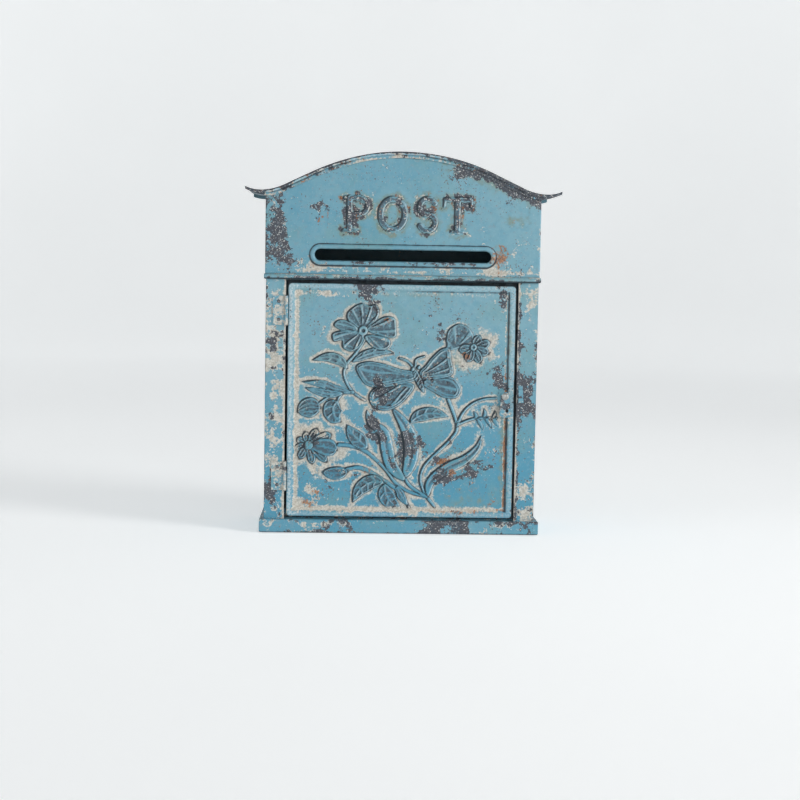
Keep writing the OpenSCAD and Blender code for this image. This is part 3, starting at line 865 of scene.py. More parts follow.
BARE_PLACES = [
    (-124, 306, 13, 30, 0.85), (-92, 322, 18, 16, 0.35), (-110, 282, 10, 10, 0.3),
    (98, 284, 16, 10, 0.25),
    (-40, 246, 26, 7, 0.7), (-44, 222, 14, 14, 0.35), (100, 238, 10, 9, 0.5),
    (31, 207, 15, 18, 0.55), (40, 196, 9, 12, 0.4), (99, 158, 13, 16, 0.85),
    (-16, 142, 18, 13, 0.75), (-30, 120, 14, 12, 0.45), (-26, 100, 13, 14, 0.75),
    (3, 96, 8, 20, 0.75), (20, 92, 10, 14, 0.6), (76, 66, 18, 18, 0.75),
    (42, 54, 15, 8, 0.65), (36, 76, 10, 9, 0.5), (108, 24, 10, 7, 0.5),
    (-128, 40, 9, 18, 0.9), (126, 140, 9, 26, 1.1), (-129, 150, 6, 90, 0.35),
    (128, 232, 8, 12, 0.2),
]
CREAM_PLACES = [
    (-88, 268, 10, 6, 0.8), (98, 276, 18, 12, 0.5), (112, 264, 26, 5, 0.5), (0, 263, 150, 2.2, 0.5),
    (-88, 102, 20, 6, 0.75), (-89, 59, 8, 12, 0.7), (-74, 68, 10, 5, 0.65), (-94, 29, 13, 7, 0.75),
    (-88, 41, 11, 5, 0.6), (-104, 130, 3, 110, 0.45), (0, 22.5, 110, 2.6, 0.75),
    (-30, 128, 18, 12, 0.4), (-28, 190, 24, 10, 0.3), (36, 132, 18, 12, 0.35),
    (-127, 150, 7, 120, 0.75), (128, 238, 8, 12, 0.8), (124, 44, 8, 10, 0.8), (128, 22, 8, 8, 0.7),
    (-76, 240, 40, 3, 0.45), (96, 236, 6, 8, 0.4), (95, 118, 12, 10, 0.4), (80, 92, 12, 10, 0.3),
]
RUST_PLACES = [
    (96, 279, 9, 13, 1.1), (-88, 268, 6, 4, 0.7), (66, 178, 7, 8, 1.0), (52, 62, 9, 5, 0.9),
    (43, 73, 6, 5, 0.95), (94, 32, 6, 7, 0.8), (-84, 41, 8, 4, 0.8), (-93, 29, 9, 5, 0.7),
    (-14, 214, 8, 6, 0.6), (106, 76, 2.5, 60, 0.65), (92, 110, 8, 6, 0.4), (75, 48, 10, 10, 0.45),
    (-36, 62, 20, 5, 0.55), (-126, 57, 7, 12, 0.7), (-82, 100, 5, 4, 0.6), (60, 22, 40, 3, 0.6),
    (42, 213, 6, 4, 0.3), (-84, 315, 12, 6, 0.4), (106, 316, 12, 5, 0.4),
]
GRIME_PLACES = [
    (70, 34, 30, 12, 0.40), (104, 90, 6, 70, 0.55), (58, 172, 10, 12, 0.6),
    (112, 316, 18, 6, 0.5), (20, 240, 60, 3, 0.4), (108, 200, 4, 40, 0.5),
]


def front_wear(x, z):
    """Paint values for points on the front of the box: how much each kind of wear shows, and how much
    painted light the teal takes.
    """
    # Painted light: the teal is lighter towards the top, where more light falls from above, a step darker
    # from 250 to 262 mm up, and lighter towards the right above the middle, on the key light's side
    height = ramp(z, 40, 230) - 0.35 * ramp(z, 250, 262)
    return {
        "bare": spots(x, z, BARE_PLACES),
        "cream": spots(x, z, CREAM_PLACES),
        "rust": spots(x, z, RUST_PLACES),
        "grime": spots(x, z, GRIME_PLACES),
        "height": height + 0.35 * ramp(x, -60, 140) * ramp(z, 150, 270),
        "line": np.zeros_like(x),
        "cell": np.zeros_like(x),
        "highlight_and_rub": np.zeros_like(x),
        "halo": np.zeros_like(x),
    }


def side_wear(points, edge):
    """Paint values for a panel that isn't on the front. edge is 1 at its edges and folds."""
    z = points[:, 2]
    return {
        "bare": 0.45 * edge + 0.25 * bell(z - PLINTH_HIGH[2], 22),
        "cream": 0.5 * edge,
        "rust": 0.25 * bell(z - PLINTH_HIGH[2], 14),
        "grime": 0.2 * bell(z - PLINTH_HIGH[2], 40),
        # Painted light: lighter towards the top
        "height": ramp(z, 60.0, 330.0),
    }


# ---------------------------------------------------------------- door

def rim_fall(edge):
    """How far the face lies behind the front of the rim, by distance from the door's edge."""
    turn, middle, rim_end = 1.6, 3.0, 6.0
    hollow, field = 0.25, 1.95
    roll = 0.9 * (1 - np.sqrt(np.clip(1 - (1 - np.clip(edge / turn, 0, 1)) ** 2, 0, 1)))
    crown = hollow * ((edge - middle) / middle) ** 2
    rim = roll + np.minimum(crown, hollow) * (edge > turn)
    return np.where(edge < rim_end, rim, hollow) + (field - hollow) * ramp(edge, 5.2, 8.6)


def past_corner(x, z):
    """How far points lie past the centres of the door's rounded corners, across and up."""
    return np.abs(x) - (DOOR_X - DOOR_CORNER), np.abs(z - DOOR_MIDDLE_Z) - (DOOR_HALF_Z - DOOR_CORNER)


def edge_distance(x, z):
    """Distance inwards from the rounded outline of the door."""
    a, b = past_corner(x, z)
    return DOOR_CORNER - np.hypot(np.maximum(a, 0), np.maximum(b, 0)) - np.minimum(np.maximum(a, b), 0)


def round_corners(x, z):
    """Draws the square corners of the door's grid in to the rounded outline."""
    a, b = past_corner(x, z)
    inside = (a > 0) & (b > 0)
    a, b = np.maximum(a, 0), np.maximum(b, 0)
    longest = np.maximum(np.maximum(a, b), 1e-9)
    shrink = np.where(inside, longest / np.maximum(np.hypot(a, b), 1e-9), 1)
    x = np.where(inside, np.sign(x) * (DOOR_X - DOOR_CORNER + a * shrink), x)
    up = np.sign(z - DOOR_MIDDLE_Z) * (DOOR_HALF_Z - DOOR_CORNER + b * shrink)
    return x, np.where(inside, DOOR_MIDDLE_Z + up, z)


def ring_of(rows, cols):
    """Indices round the outside of a grid, anticlockwise from the lower left."""
    i = np.arange(rows * cols).reshape(rows, cols)
    return np.concatenate([i[0, :-1], i[:-1, -1], i[-1, :0:-1], i[:0:-1, 0]])


def door_wear(x, z, edge, flat, relief, shape):
    """Paint values for the door's face. flat is 1 on the pressed field inside the rim."""
    values = front_wear(x, z)
    flank_shade_and_dust, highlight_and_rub = relief.tones(shape)
    spread = 5.4 + dents(x, z, 12, 26, 1.6) + dents(x, z, 13, 9, 0.6)
    halo = ramp(relief.outside, 0.2, 0.7) * (1 - ramp(relief.outside, 0.6, spread)) * flat
    low_left = ramp(x + 0.6 * z, 190, 60)
    values["halo"] += halo * np.clip(0.72 + 0.22 * low_left + dents(x, z, 14, 40, 0.35), 0, 1)
    lit_side = np.maximum(ramp(x, -98, -104), ramp(z, 30, 24))
    left = 1 - ramp(x, 90, 104)
    right = ramp(x, 95, 103)
    # Painted highlight, partly primer: paler along the rim's inner slope, more on the left and bottom sides,
    # which face the light, and pale at the door's very edge
    values["halo"] += (0.35 + 0.55 * lit_side) * bell(edge - 9.5, 2.8) * left
    values["cream"] += (0.3 + 0.3 * lit_side) * bell(edge - 7.8, 1.3) * left
    values["cream"] += 0.7 * bell(edge - 9.4, 0.9) * right + 0.3 * bell(edge - 0.6, 0.8)
    values["rust"] += 0.45 * bell(edge - 8.6, 1.4) * right
    values["bare"] += 0.25 * bell(edge, 1.0) + 0.16 * relief.cell * flat
    # Painted highlight, partly rub: along the crown of the rim, most on the left, and on the relief's lit
    # flanks
    values["highlight_and_rub"] = (0.45 + 0.5 * ramp(x, -100, -106)) * bell(edge - 3.0, 2.4) + highlight_and_rub * flat
    values["cell"] = relief.cell * flat
    top_right = 0.6 * ramp(z, 236, 244) * ramp(x, -30, 30)
    shade_side = np.maximum(ramp(x, DOOR_X - 12, DOOR_X - 6), top_right)
    # Painted shade, with some dust: round the relief's shapes, on their left and upper flanks and in their
    # grooves, inside the rim on the right and along the top, and at the door's very edge, which turns into
    # the dark gap
    values["line"] = (0.7 * relief.line + flank_shade_and_dust + 0.4 * ramp(relief.cell, 0.75, 1.0)) * flat
    values["line"] += 1.1 * bell(edge - 7.0, 1.2) * shade_side + 0.9 * bell(edge, 0.7)
    return values


def door_face(rows, cols):
    """Points of the pressed face, over a grid, with their paint values."""
    x, z = np.meshgrid(
        np.linspace(-DOOR_X, DOOR_X, cols), np.linspace(DOOR_LOW[2], DOOR_HIGH[2], rows))
    x, z = round_corners(x, z)
    x, z = x.ravel(), z.ravel()
    relief = Relief(x, z)
    draw_plants(relief)
    edge = edge_distance(x, z)
    pad_radius = 7.5
    pad = ramp(pad_radius - np.hypot(x - LATCH_X, z - LATCH_Z), -1.5, 1.5)
    flat = ramp(edge, 7.5, 10.0) * (1 - pad)
    fall = rim_fall(edge)
    fall = fall * (1 - pad) + np.minimum(fall, 0.1) * pad
    y = FACE_Y + fall - relief.height * flat + dents(x, z, 4, 70, 0.22) * ramp(edge, 2, 20)
    return np.stack([x, y, z], 1), door_wear(x, z, edge, flat, relief, (rows, cols))


def make_door():
    """The door: a pressed skin with turned edges, and a coarser skin behind it."""
    step = 0.84
    ratio = 3
    cols = round(2 * DOOR_X / step / ratio) * ratio + 1
    rows = round(2 * DOOR_HALF_Z / step / ratio) * ratio + 1
    front, values = door_face(rows, cols)

    # Turned edge: rings behind the outline, back to the door's back plane
    ring = ring_of(rows, cols)
    depths = [1.4, 2.4, 3.6, DOOR_DEPTH]
    points, quads = [front], [grid_quads(rows, cols)]
    outer_ring = ring
    count = len(front)
    for depth in depths:
        loop = front[ring].copy()
        loop[:, 1] = FACE_Y + depth
        points.append(loop)
        new = count + np.arange(len(ring))
        quads.append(np.stack([np.roll(outer_ring, -1), outer_ring, new, np.roll(new, -1)], 1))
        outer_ring = new
        count += len(ring)

    # Skin behind: every third point, moved back by the sheet, then its own turned edge
    coarse = np.arange(rows * cols).reshape(rows, cols)[::ratio, ::ratio]
    behind = front[coarse.ravel()].copy()
    behind[:, 0] *= (DOOR_X - SHEET) / DOOR_X
    behind[:, 2] = DOOR_MIDDLE_Z + (behind[:, 2] - DOOR_MIDDLE_Z) * (DOOR_HALF_Z - SHEET) / DOOR_HALF_Z
    behind[:, 1] = np.maximum(behind[:, 1], FACE_Y + 0.1) + SHEET
    back_ring = ring_of(*coarse.shape)
    lip = behind[back_ring].copy()
    lip[:, 1] = DOOR_BACK_Y
    inner_ring = count + len(behind) + np.arange(len(back_ring))
    fold = count + back_ring
    points += [behind, lip]
    quads.append(grid_quads(*coarse.shape)[:, ::-1] + count)
    quads.append(np.stack([fold, np.roll(fold, -1), np.roll(inner_ring, -1), inner_ring], 1))
    faces = [list(q) for q in np.vstack(quads)]

    # The thin edge between the two turned edges: three outer steps to each inner one
    for i, a in enumerate(inner_ring):
        b = inner_ring[(i + 1) % len(inner_ring)]
        o = [outer_ring[(ratio * i + k) % len(outer_ring)] for k in range(ratio + 1)]
        faces += [[o[1], o[0], a], [o[2], o[1], a], [b, o[2], a], [o[3], o[2], b]]

    both = np.concatenate([coarse.ravel(), coarse.ravel()[back_ring]])
    for key, value in values.items():
        values[key] = np.concatenate([value] + [value[ring]] * len(depths) + [value[both] * 0.4])
    values["inside"] = np.concatenate([np.zeros(count), np.ones(len(both))])
    piece(
        "door_skin", np.vstack(points), faces, "door", DOOR_PAINT, values,
        ["door_panel"], sharp=60)


# ---------------------------------------------------------------- header

def slot_distance(x, z):
    """Distance outwards from the outline of the letter slot."""
    run = np.maximum(np.abs(x) - SLOT_RUN, 0)
    return np.hypot(run, z - SLOT_Z) - SLOT_H / 2


def letter_strokes():
    """The four letters, each a list of lines: stroke width and the points that it passes."""
    low, high = WORD_LOW, WORD_HIGH
    stem, serif = 5.8, 3.0

    def arc(cx, cz, rx, rz, start, end, steps=12):
        angles = np.radians(np.linspace(start, end, steps))
        return [(cx + rx * math.cos(a), cz + rz * math.sin(a)) for a in angles]

    def upright(x, foot):
        """A stem with a serif under it, to that far on each side."""
        return [
            (stem, [(x, low + 2), (x, high - 3)]),
            (serif, [(x - foot, low + 1.6), (x + foot, low + 1.6)])]

    bowl = [(-55, high - 2.4), (-46, high - 2.4)] + arc(-45, high - 10.4, 9, 8, 80, -80)
    letter_p = upright(-54, 6) + [
        (serif, [(-59, high - 2.4), (-52, high - 2.4)]),
        (4.8, bowl + [(-54, high - 18.6)])]
    letter_o = [(stem, arc(-11, (low + high) / 2, 12.2, 15.0, 0, 360, 28))]
    upper_bend = arc(23.5, high - 10, 8.0, 7.8, 25, 270)
    letter_s = [(5.2, upper_bend + arc(23.5, low + 10.5, 8.2, 8.2, 90, -155)[1:])]
    letter_t = upright(53.4, 6) + [
        (4.6, [(41, high - 2.6), (66, high - 2.6)]),
        (serif, [(40.6, high - 2), (40.2, high - 9)]),
        (serif, [(66.4, high - 2), (66.8, high - 9)])]
    return [letter_p, letter_o, letter_s, letter_t]


def press_word(relief):
    """Presses each letter as one shape, so that its strokes run into one another."""
    for letter in letter_strokes():
        where = relief.near(np.vstack([points for _, points in letter]), 12)
        distance = np.full(where.sum(), np.inf)
        for width, points in letter:
            _, side = along(np.array(points, float), relief.x[where], relief.z[where])
            distance = np.minimum(distance, np.abs(side) - width / 2)
        inner = ramp(-distance, 0.7, 1.8)
        relief.stamp(where, distance, 1.8 * ramp(-distance, -0.4, 1.4) * (1 - 0.2 * inner), inner)


def header_wear(x, z, slot, front, below_top, relief, shape):
    """Paint values for the header. front is 1 away from its wrapped sides."""
    values = front_wear(x, z)
    flank_shade_and_dust, highlight_and_rub = relief.tones(shape)
    outside = relief.outside
    side_gap = HEADER_HIGH[0] - np.abs(x)
    under_slot = z < SLOT_Z
    right = ramp(x, 20, 60)
    scored = np.maximum(
        bell(x + 76, 0.5) * ramp(z, 289, 292) * ramp(z, 344, 341),
        bell(z - 344 + x * 0.01, 0.5) * ramp(x, -76, -60) * ramp(x, 72, 60))
    # Painted shade, with some dust: round the letters and on their left and upper flanks, at the slot's
    # edge, at the foot of the slot's rim and just under the roof's lip, most on the right. The scored lines
    # are dark too.
    values["line"] = (0.75 * relief.line + 1.2 * flank_shade_and_dust) * front + 0.55 * bell(slot - 0.3, 0.9)
    values["line"] += 0.35 * scored + bell(slot - 5.1, np.where(under_slot, 1.2, 0.7))
    values["line"] += 0.8 * bell(below_top - 5.4, 0.8) * (0.5 + 0.5 * right)
    # Painted highlight, partly rub, on the letters' lit flanks
    values["highlight_and_rub"] = highlight_and_rub * front
    values["cell"] = relief.cell * front * 1.6
    values["bare"] += 0.45 * relief.cell * front + 0.65 * bell(slot - 2, 2.6) * under_slot
    values["bare"] += bell(below_top - 5, 9) * ramp(x, 38, 70) + 0.5 * bell(outside - 1.5, 3) * front
    values["bare"] += 0.3 * bell(side_gap, 2.0)
    values["grime"] += 0.5 * bell(outside - 2, 4) * front + 0.6 * bell(below_top - 8, 9) * right
    values["rust"] += 0.3 * scored + 0.35 * bell(outside - 2, 4) * front
    # Primer shows on the letters' lit flanks as a painted highlight, and round the letters
    values["cream"] += 0.55 * highlight_and_rub * front + 0.25 * ramp(outside, 0.4, 1.0) * (1 - ramp(outside, 1.8, 4.0))
    values["cream"] += 0.5 * bell(slot - 6.2, 1.6) * under_slot + 0.25 * bell(side_gap, 2.0)
    return values


def make_header():
    """The header: front sheet with the slot, its rim and the word, wrapped round both sides."""
    outer = HEADER_HIGH[0]
    wrap_end = HEADER_HIGH[1]
    path = rounded([(-outer, wrap_end), (-outer, HEADER_Y), (outer, HEADER_Y), (outer, wrap_end)], 1.6, 4)
    path = stepped(path, 1.0)
    # Close rows at the slot's rim, wider ones below it
    slot_low, slot_high = 0.078, 0.36
    rise = np.concatenate([
        np.linspace(0, slot_low, 11), np.linspace(slot_low, slot_high, 46)[1:],
        np.linspace(slot_high, 1, 62)[1:]])
    place, share, quads = swept(path, rise)
    x, base_y = path[place].T
    top = roof_z(x) - ROOF_T - SEAM_GAP
    # Rows stay level up to the word, so that the slot's rim has even rows
    level = HEADER_EDGE_Z + (ROOF_TOP - HEADER_EDGE_Z) * share
    slanted = HEADER_EDGE_Z + (top - HEADER_EDGE_Z) * share
    low_share = ramp(share, 0.62, 0.30)
    z = np.minimum(level * low_share + slanted * (1 - low_share), top)

    relief = Relief(x, z)
    press_word(relief)
    slot = slot_distance(x, z)
    crest = 1.75 * np.sqrt(np.clip(1 - ((slot - 2.3) / 2.3) ** 2, 0, 1)) * (slot > -0.4)
    rim = 0.35 * (1 - ramp(slot, 4.2, 6.4))
    raised = np.maximum(crest, rim) * ramp(slot, -0.6, 0.5)
    front = ramp(outer - np.abs(x), 1.0, 5.0)
    calm = front * ramp(top - z, 0, 12) * ramp(z - HEADER_EDGE_Z, 0, 10)
    y = base_y - relief.height * front - raised + dents(x, z, 9, 80, 0.25) * calm
    points = np.stack([x, y, z], 1)

    middle = points[quads].mean(1)
    quads = quads[slot_distance(middle[:, 0], middle[:, 2]) > 0]
    # The points left on the hole's edge move onto the slot's outline
    loose = np.unique(free_edges(quads))
    hole = loose[slot[loose] < 2.0]
    pull_onto(points, hole, np.clip(points[hole, 0], -SLOT_RUN, SLOT_RUN), SLOT_Z, SLOT_H / 2)
    points[hole, 1] = HEADER_Y - 0.2
    values = header_wear(x, z, slot, front, top - z, relief, (len(rise), len(path)))
    sheet_piece(
        "header_front", points, quads, HEADER_PAINT, values, ["header_panel"], sharp=50)


# ---------------------------------------------------------------- roof

def roof_frame(x):
    """Points on the roof line and the upward direction across it."""
    z = roof_z(x)
    step = 0.05
    slope = (roof_z(x + step) - roof_z(x - step)) / (2 * step)
    up = np.stack([-slope, np.ones_like(slope)], 1)
    return z, up / np.linalg.norm(up, axis=1)[:, None]


def roof_section(x):
    """Section of the roof at x: Y and height over the roof line, from the back over the bead and back."""
    bead_r = 1.7
    bead_y = ROOF_LOW[1] + bead_r
    roll = bead_r * (1 - 0.45 * ramp(abs(x), ROOF_X - 12, ROOF_X))
    lip = max(6.3 * (1 - 0.6 * ramp(abs(x), ROOF_X - 26, ROOF_X - 2)), 2 * roll)
    lip_y = HEADER_Y - 1.0
    inner_y = HEADER_Y - 0.02
    ys = np.linspace(ROOF_HIGH[1], bead_y + 0.6, 34)
    bead = np.radians(np.linspace(80, 285, 11))
    section = [(y, 0.0) for y in ys]
    section += [(bead_y + roll * math.cos(a), -roll + roll * math.sin(a)) for a in bead]
    section += [(lip_y, -2 * roll * 0.98), (lip_y, -lip), (lip_y + 0.5, -lip - 0.1)]
    section += [(inner_y, -lip), (inner_y, -ROOF_T)]
    section += [(y, -ROOF_T) for y in ys[::-1]]
    return np.array(section)


def make_roof():
    """The roof: one bent sheet with a rolled bead and a lip along its front edge."""
    xs = np.linspace(-ROOF_X, ROOF_X, 241)
    zs, up = roof_frame(np.clip(xs, -ROOF_X + 0.1, ROOF_X - 0.1))
    sections = []
    for x, z, n in zip(xs, zs, up):
        y, height = roof_section(x).T
        wave = dents(np.full_like(y, x), y, 21, 60, 0.16) * ramp(ROOF_HIGH[1] - y, 0, 10)
        offset = height + np.minimum(wave - 0.2, 0)
        sections.append(np.stack([x + n[0] * offset, y, z + n[1] * offset], 1))
    points, faces = loft(sections)
    points[:, 0] = np.clip(points[:, 0], -ROOF_X, ROOF_X)
    points[:, 2] = np.minimum(points[:, 2], ROOF_TOP)
    x, y, z = points.T
    fall = roof_z(x) - z
    at_front = bell(y - ROOF_LOW[1], 4.0)
    right = ramp(x, 30, 60)
    tips = (0.25 + 0.5 * at_front) * ramp(np.abs(x), 128, 146) + 0.35 * bell(ROOF_X - np.abs(x), 3)
    # Along the front: bare tin and near black on the top edge, painted shade with some dust in the groove
    # under the bead, a painted highlight on the bead, and pale primer along the lip's lower edge, partly as
    # painted highlight
    values = {
        "bare": 0.1 + at_front * (0.95 * bell(fall, 1.5) + 0.75 * right * ramp(fall, 1.0, 2.5)) + tips,
        "cream": at_front * (0.95 * bell(fall - 5.8, 1.0) + 0.3),
        "rust": 0.1 + 0.2 * at_front,
        "grime": np.zeros_like(x),
        "height": np.full_like(x, 0.6),
        "line": at_front * (0.9 * bell(fall - 4.0, 0.6) + 0.5 * bell(fall, 0.9)),
        "highlight_and_rub": 0.8 * at_front * bell(fall - 2.4, 0.9),
        "inside": ((fall > 0.9) & (y > HEADER_Y)).astype(float),
    }
    piece("roof_sheet", points, faces, "case", ROOF_PAINT, values, ["roof_panel"])


# ---------------------------------------------------------------- case sheets

def stand_up(name, replaced, path, heights, side, seed, sway, cut, wear):
    """A case sheet with a bent section in X and Y that stands up through the heights."""
    place, z, quads = swept(path, heights)
    points = np.column_stack([path[place], z])
    quads = quads[:, ::side]
    quads = quads[~cut(points[quads].mean(1))]
    run = run_length(path)[place]
    ends = np.minimum(run, run.max() - run)
    tall = np.minimum(z - z.min(), z.max() - z)
    calm = ramp(ends, 1, 12) * ramp(tall, 1, 12)
    dent = np.clip(0.25 + dents(run, z, seed, 75, sway), 0, 1) * calm
    points = points - point_normals(points, quads) * dent[:, None]
    edge = np.maximum(bell(tall, 2.5), bend_edges(path)[place])
    sheet_piece(name, points, quads, CASE_PAINT, wear(points, edge), [replaced])


def stile_wear(points, edge):
    """Paint values for the strips beside the door, with painted shade where they turn into the opening."""
    x, y, z = points.T
    values = front_wear(x, z)
    returned = ramp(y, FACE_Y + 0.5, FACE_Y + 1.2) * (np.abs(x) < SIDE_X - 3)
    values["bare"] += 0.2 * edge + 0.45 * bell(x - OPENING_X - 2.5, 2.0)
    # Pale primer along the edge of the opening, partly a painted highlight
    values["cream"] += 0.35 * edge + 0.9 * bell(np.abs(x) - OPENING_X - 1.0, 1.0) * (1 - returned)
    # Painted shade on the fold into the opening, and a dark line at the joint with the side sheet
    values["line"] += 1.3 * returned + 0.6 * bell(SIDE_X - np.abs(x), 0.6)
    return values


def bend_edges(path):
    """1 at the bends of a path, fading along it."""
    run = run_length(path)
    step = np.diff(path, axis=0)
    heading = np.unwrap(np.arctan2(step[:, 1], step[:, 0]))
    turn = np.abs(np.diff(heading))
    result = np.zeros(len(path))
    for i in np.nonzero(turn > 0.15)[0]:
        result = np.maximum(result, bell(run - run[i + 1], 2.6))
    return result


def make_stile(side):
    """The strip beside the door: a face with a fold back into the opening."""
    name = "right" if side > 0 else "left"
    path = [(SIDE_X, FACE_Y + 0.8), (SIDE_X, FACE_Y), (OPENING_X, FACE_Y)]
    if side > 0:
        path += [(OPENING_X, STOP_Y), (OPENING_X - 6, STOP_Y)]
    else:
        path += [(OPENING_X, STOP_Y + SHEET)]
    path = stepped(rounded(path, 0.7, 3), 2.0)[::-1] * np.array([side, 1])
    heights = np.linspace(PLINTH_HIGH[2], STILE_HIGH[2], 110)
    stop_end = 245.0

    def cut(p):
        behind = (p[:, 1] > FACE_Y + 1.2) & (p[:, 2] > HEADER_EDGE_Z - HEADER_GAP)
        stop = (np.abs(p[:, 0]) < OPENING_X - 0.3) & (p[:, 2] > stop_end)
        return behind | stop

    stand_up(
        name + "_stile_strip", name + "_stile", path, heights, side, 30 + side, 0.15, cut, stile_wear)


def make_side(side):
    """The side sheet, with a fold at its front and at its back."""
    name = "right" if side > 0 else "left"
    lap = 9.0
    front_y = FACE_Y + SHEET
    back_y = BACK_LOW[1]
    path = [(SIDE_X - lap, front_y), (SIDE_X, front_y), (SIDE_X, back_y), (SIDE_X - lap, back_y)]
    path = stepped(rounded(path, 1.4, 4), 3.0) * np.array([side, 1])
    heights = np.linspace(PLINTH_HIGH[2], roof_z(SIDE_X) - ROOF_T, 120)

    def cut(p):
        front_fold = (p[:, 1] < front_y + 1) & (np.abs(p[:, 0]) < SIDE_X - 2)
        return front_fold & (p[:, 2] > HEADER_EDGE_Z - HEADER_GAP)

    stand_up(
        name + "_side_sheet", name + "_side_panel", path, heights, side, 40 + side, 0.3, cut, side_wear)


def hole_reach(points):
    """Distance in X and Z from the nearer screw hole's middle."""
    return np.hypot(np.abs(points[:, 0]) - HOLE_X, points[:, 2] - HOLE_Z)


def make_back():
    """The back sheet, with ears under the roof's tips and two holes for screws."""
    ear = 6.0
    half = ROOF_X - 2
    low = PLINTH_HIGH[2]
    # Close columns and rows round the holes. Rows are level up to the top of the holes' band
    xs = np.unique(np.concatenate([
        np.linspace(-half, half, 150), [-SIDE_X, SIDE_X],
        np.linspace(-HOLE_X - 10, -HOLE_X + 10, 22), np.linspace(HOLE_X - 10, HOLE_X + 10, 22)]))
    rise = np.unique(np.concatenate([np.linspace(0, 1, 90), np.linspace(0.82, 0.94, 44)]))
    place, share, quads = swept(xs, rise)
    x = -xs[place]
    top = roof_z(x) - ROOF_T - SEAM_GAP
    band = HOLE_Z + 12
    level = low + (band - low) * np.minimum(share / 0.9, 1)
    z = np.where(share < 0.9, level, band + (top - band) * (share - 0.9) / 0.1)
    points = np.stack([x, np.full_like(x, BACK_HIGH[1]), z], 1)
    middle = points[quads].mean(1)
    past_side = np.abs(middle[:, 0]) > SIDE_X
    below_ear = middle[:, 2] < roof_z(middle[:, 0]) - ear
    quads = quads[(hole_reach(middle) > HOLE_R) & ~(past_side & below_ear)]
    loose = np.unique(free_edges(quads))
    hole = loose[hole_reach(points[loose]) < 2 * HOLE_R]
    pull_onto(points, hole, HOLE_X * np.sign(points[hole, 0]), HOLE_Z, HOLE_R)
    x, _, z = points.T
    side_gap = SIDE_X - np.abs(x)
    calm = ramp(side_gap, 0, 20) * ramp(z - low, 0, 20) * ramp(top - z, 0, 12)
    points[:, 1] -= calm * np.clip(0.3 + dents(x, z, 51, 90, 0.3), 0, 1)
    edge = np.maximum(bell(side_gap, 2.5), bell(z - low, 2.5))
    edge = np.maximum(edge, bell(hole_reach(points) - HOLE_R, 2.0))
    values = side_wear(points, edge)
    sheet_piece("back_sheet", points, quads, CASE_PAINT, values, ["back_panel"])


PLINTH_BARE = [(-12, 6, 5, 8, 0.6), (33, 6, 6, 8, 0.6), (62, 7, 12, 8, 0.8), (126, 7, 14, 8, 0.7)]
PLINTH_CREAM = [(-86, 9, 36, 3, 0.9), (-130, 8, 8, 6, 0.5), (100, 9, 14, 3, 0.5)]


def make_plinth():
    """The base: a folded band with a hem below and a shelf above, round all four sides."""
    half_x, half_y, top = PLINTH_HIGH
    hem, shelf = 6, 20
    outline = [
        (0, -half_y), (half_x, -half_y), (half_x, half_y), (-half_x, half_y), (-half_x, -half_y),
        (0, -half_y)]
    outline = stepped(rounded(outline, 1.8, 4), 4.0)[:-1]
    section = stepped(rounded([(hem, 0), (0, 0), (0, top), (shelf, top)], 1.5, 4), 3.0)
    points = []
    for inset, z in section:
        loop = outline * [(half_x - inset) / half_x, (half_y - inset) / half_y]
        points.append(np.column_stack([loop, np.full(len(outline), z)]))
    points = np.vstack(points)
    x, y, z = points.T.copy()
    run = np.where(np.abs(y) > half_y - 4, x, y)
    front = bell(y + half_y, 10)
    inset = np.minimum(half_x - np.abs(x), half_y - np.abs(y))
    sway = np.clip(0.2 + dents(run, z * 3, 61, 60, 0.2), 0, 0.7) * bell(inset, 3) * ramp(z, 0, 3)
    points[:, 1] -= np.sign(y) * sway * (np.abs(y) > half_y - 3)
    edge = np.maximum(bell(z, 2.2), bell(np.hypot(z - top, np.minimum(inset, 5)), 2.2))
    values = {
        "bare": 0.05 + 0.3 * edge + spots(x, z, PLINTH_BARE) * front,
        "cream": 0.2 * edge + 0.8 * spots(x, z, PLINTH_CREAM) * front,
        "rust": 0.2 * bell(z, 4),
        "grime": np.zeros_like(x),
        "height": 0.4 + 0.3 * np.sin(x / 40),
        # Painted shade along the foot, where the band stands on the floor
        "line": 0.75 * bell(z, 1.6),
    }
    quads = closed_quads(len(section), len(outline))
    sheet_piece("plinth_band", points, quads, PLINTH_PAINT, values, ["base_plinth"])


def drawn_out(path, start, end, count, axis):
    """A bent section drawn out along an axis: points, quads, and 1 at the bends."""
    place, reach, quads = swept(path, np.linspace(start, end, count))
    return np.insert(path[place], axis, reach, 1), quads, bend_edges(path)[place]


def make_floor():
    """The floor of the case, with its two edges turned up."""
    half, depth, top = FLOOR_HIGH
    path = rounded([(-half, top), (-half, FLOOR_LOW[2]), (half, FLOOR_LOW[2]), (half, top)], 1.2, 3)
    points, quads, edge = drawn_out(stepped(path, 5.0), FLOOR_LOW[1], depth, 24, 1)
    values = side_wear(points, edge)
    sheet_piece(
        "floor_sheet", points, quads[:, ::-1], INNER_PAINT, values, ["floor_panel"])


def make_sill():
    """The rail that the bottom of the door meets: an angle on the floor."""
    path = rounded([(STOP_Y, SILL_HIGH[2]), (STOP_Y, SILL_LOW[2]), (SILL_HIGH[1], SILL_LOW[2])], 1.2, 4)
    points, quads, edge = drawn_out(stepped(path, 2.0), SILL_LOW[0], SILL_HIGH[0], 70, 0)
    values = side_wear(points, np.maximum(edge, bell(points[:, 2] - SILL_HIGH[2], 1.5)))
    sheet_piece("sill_angle", points, quads, INNER_PAINT, values, ["sill_rail"])


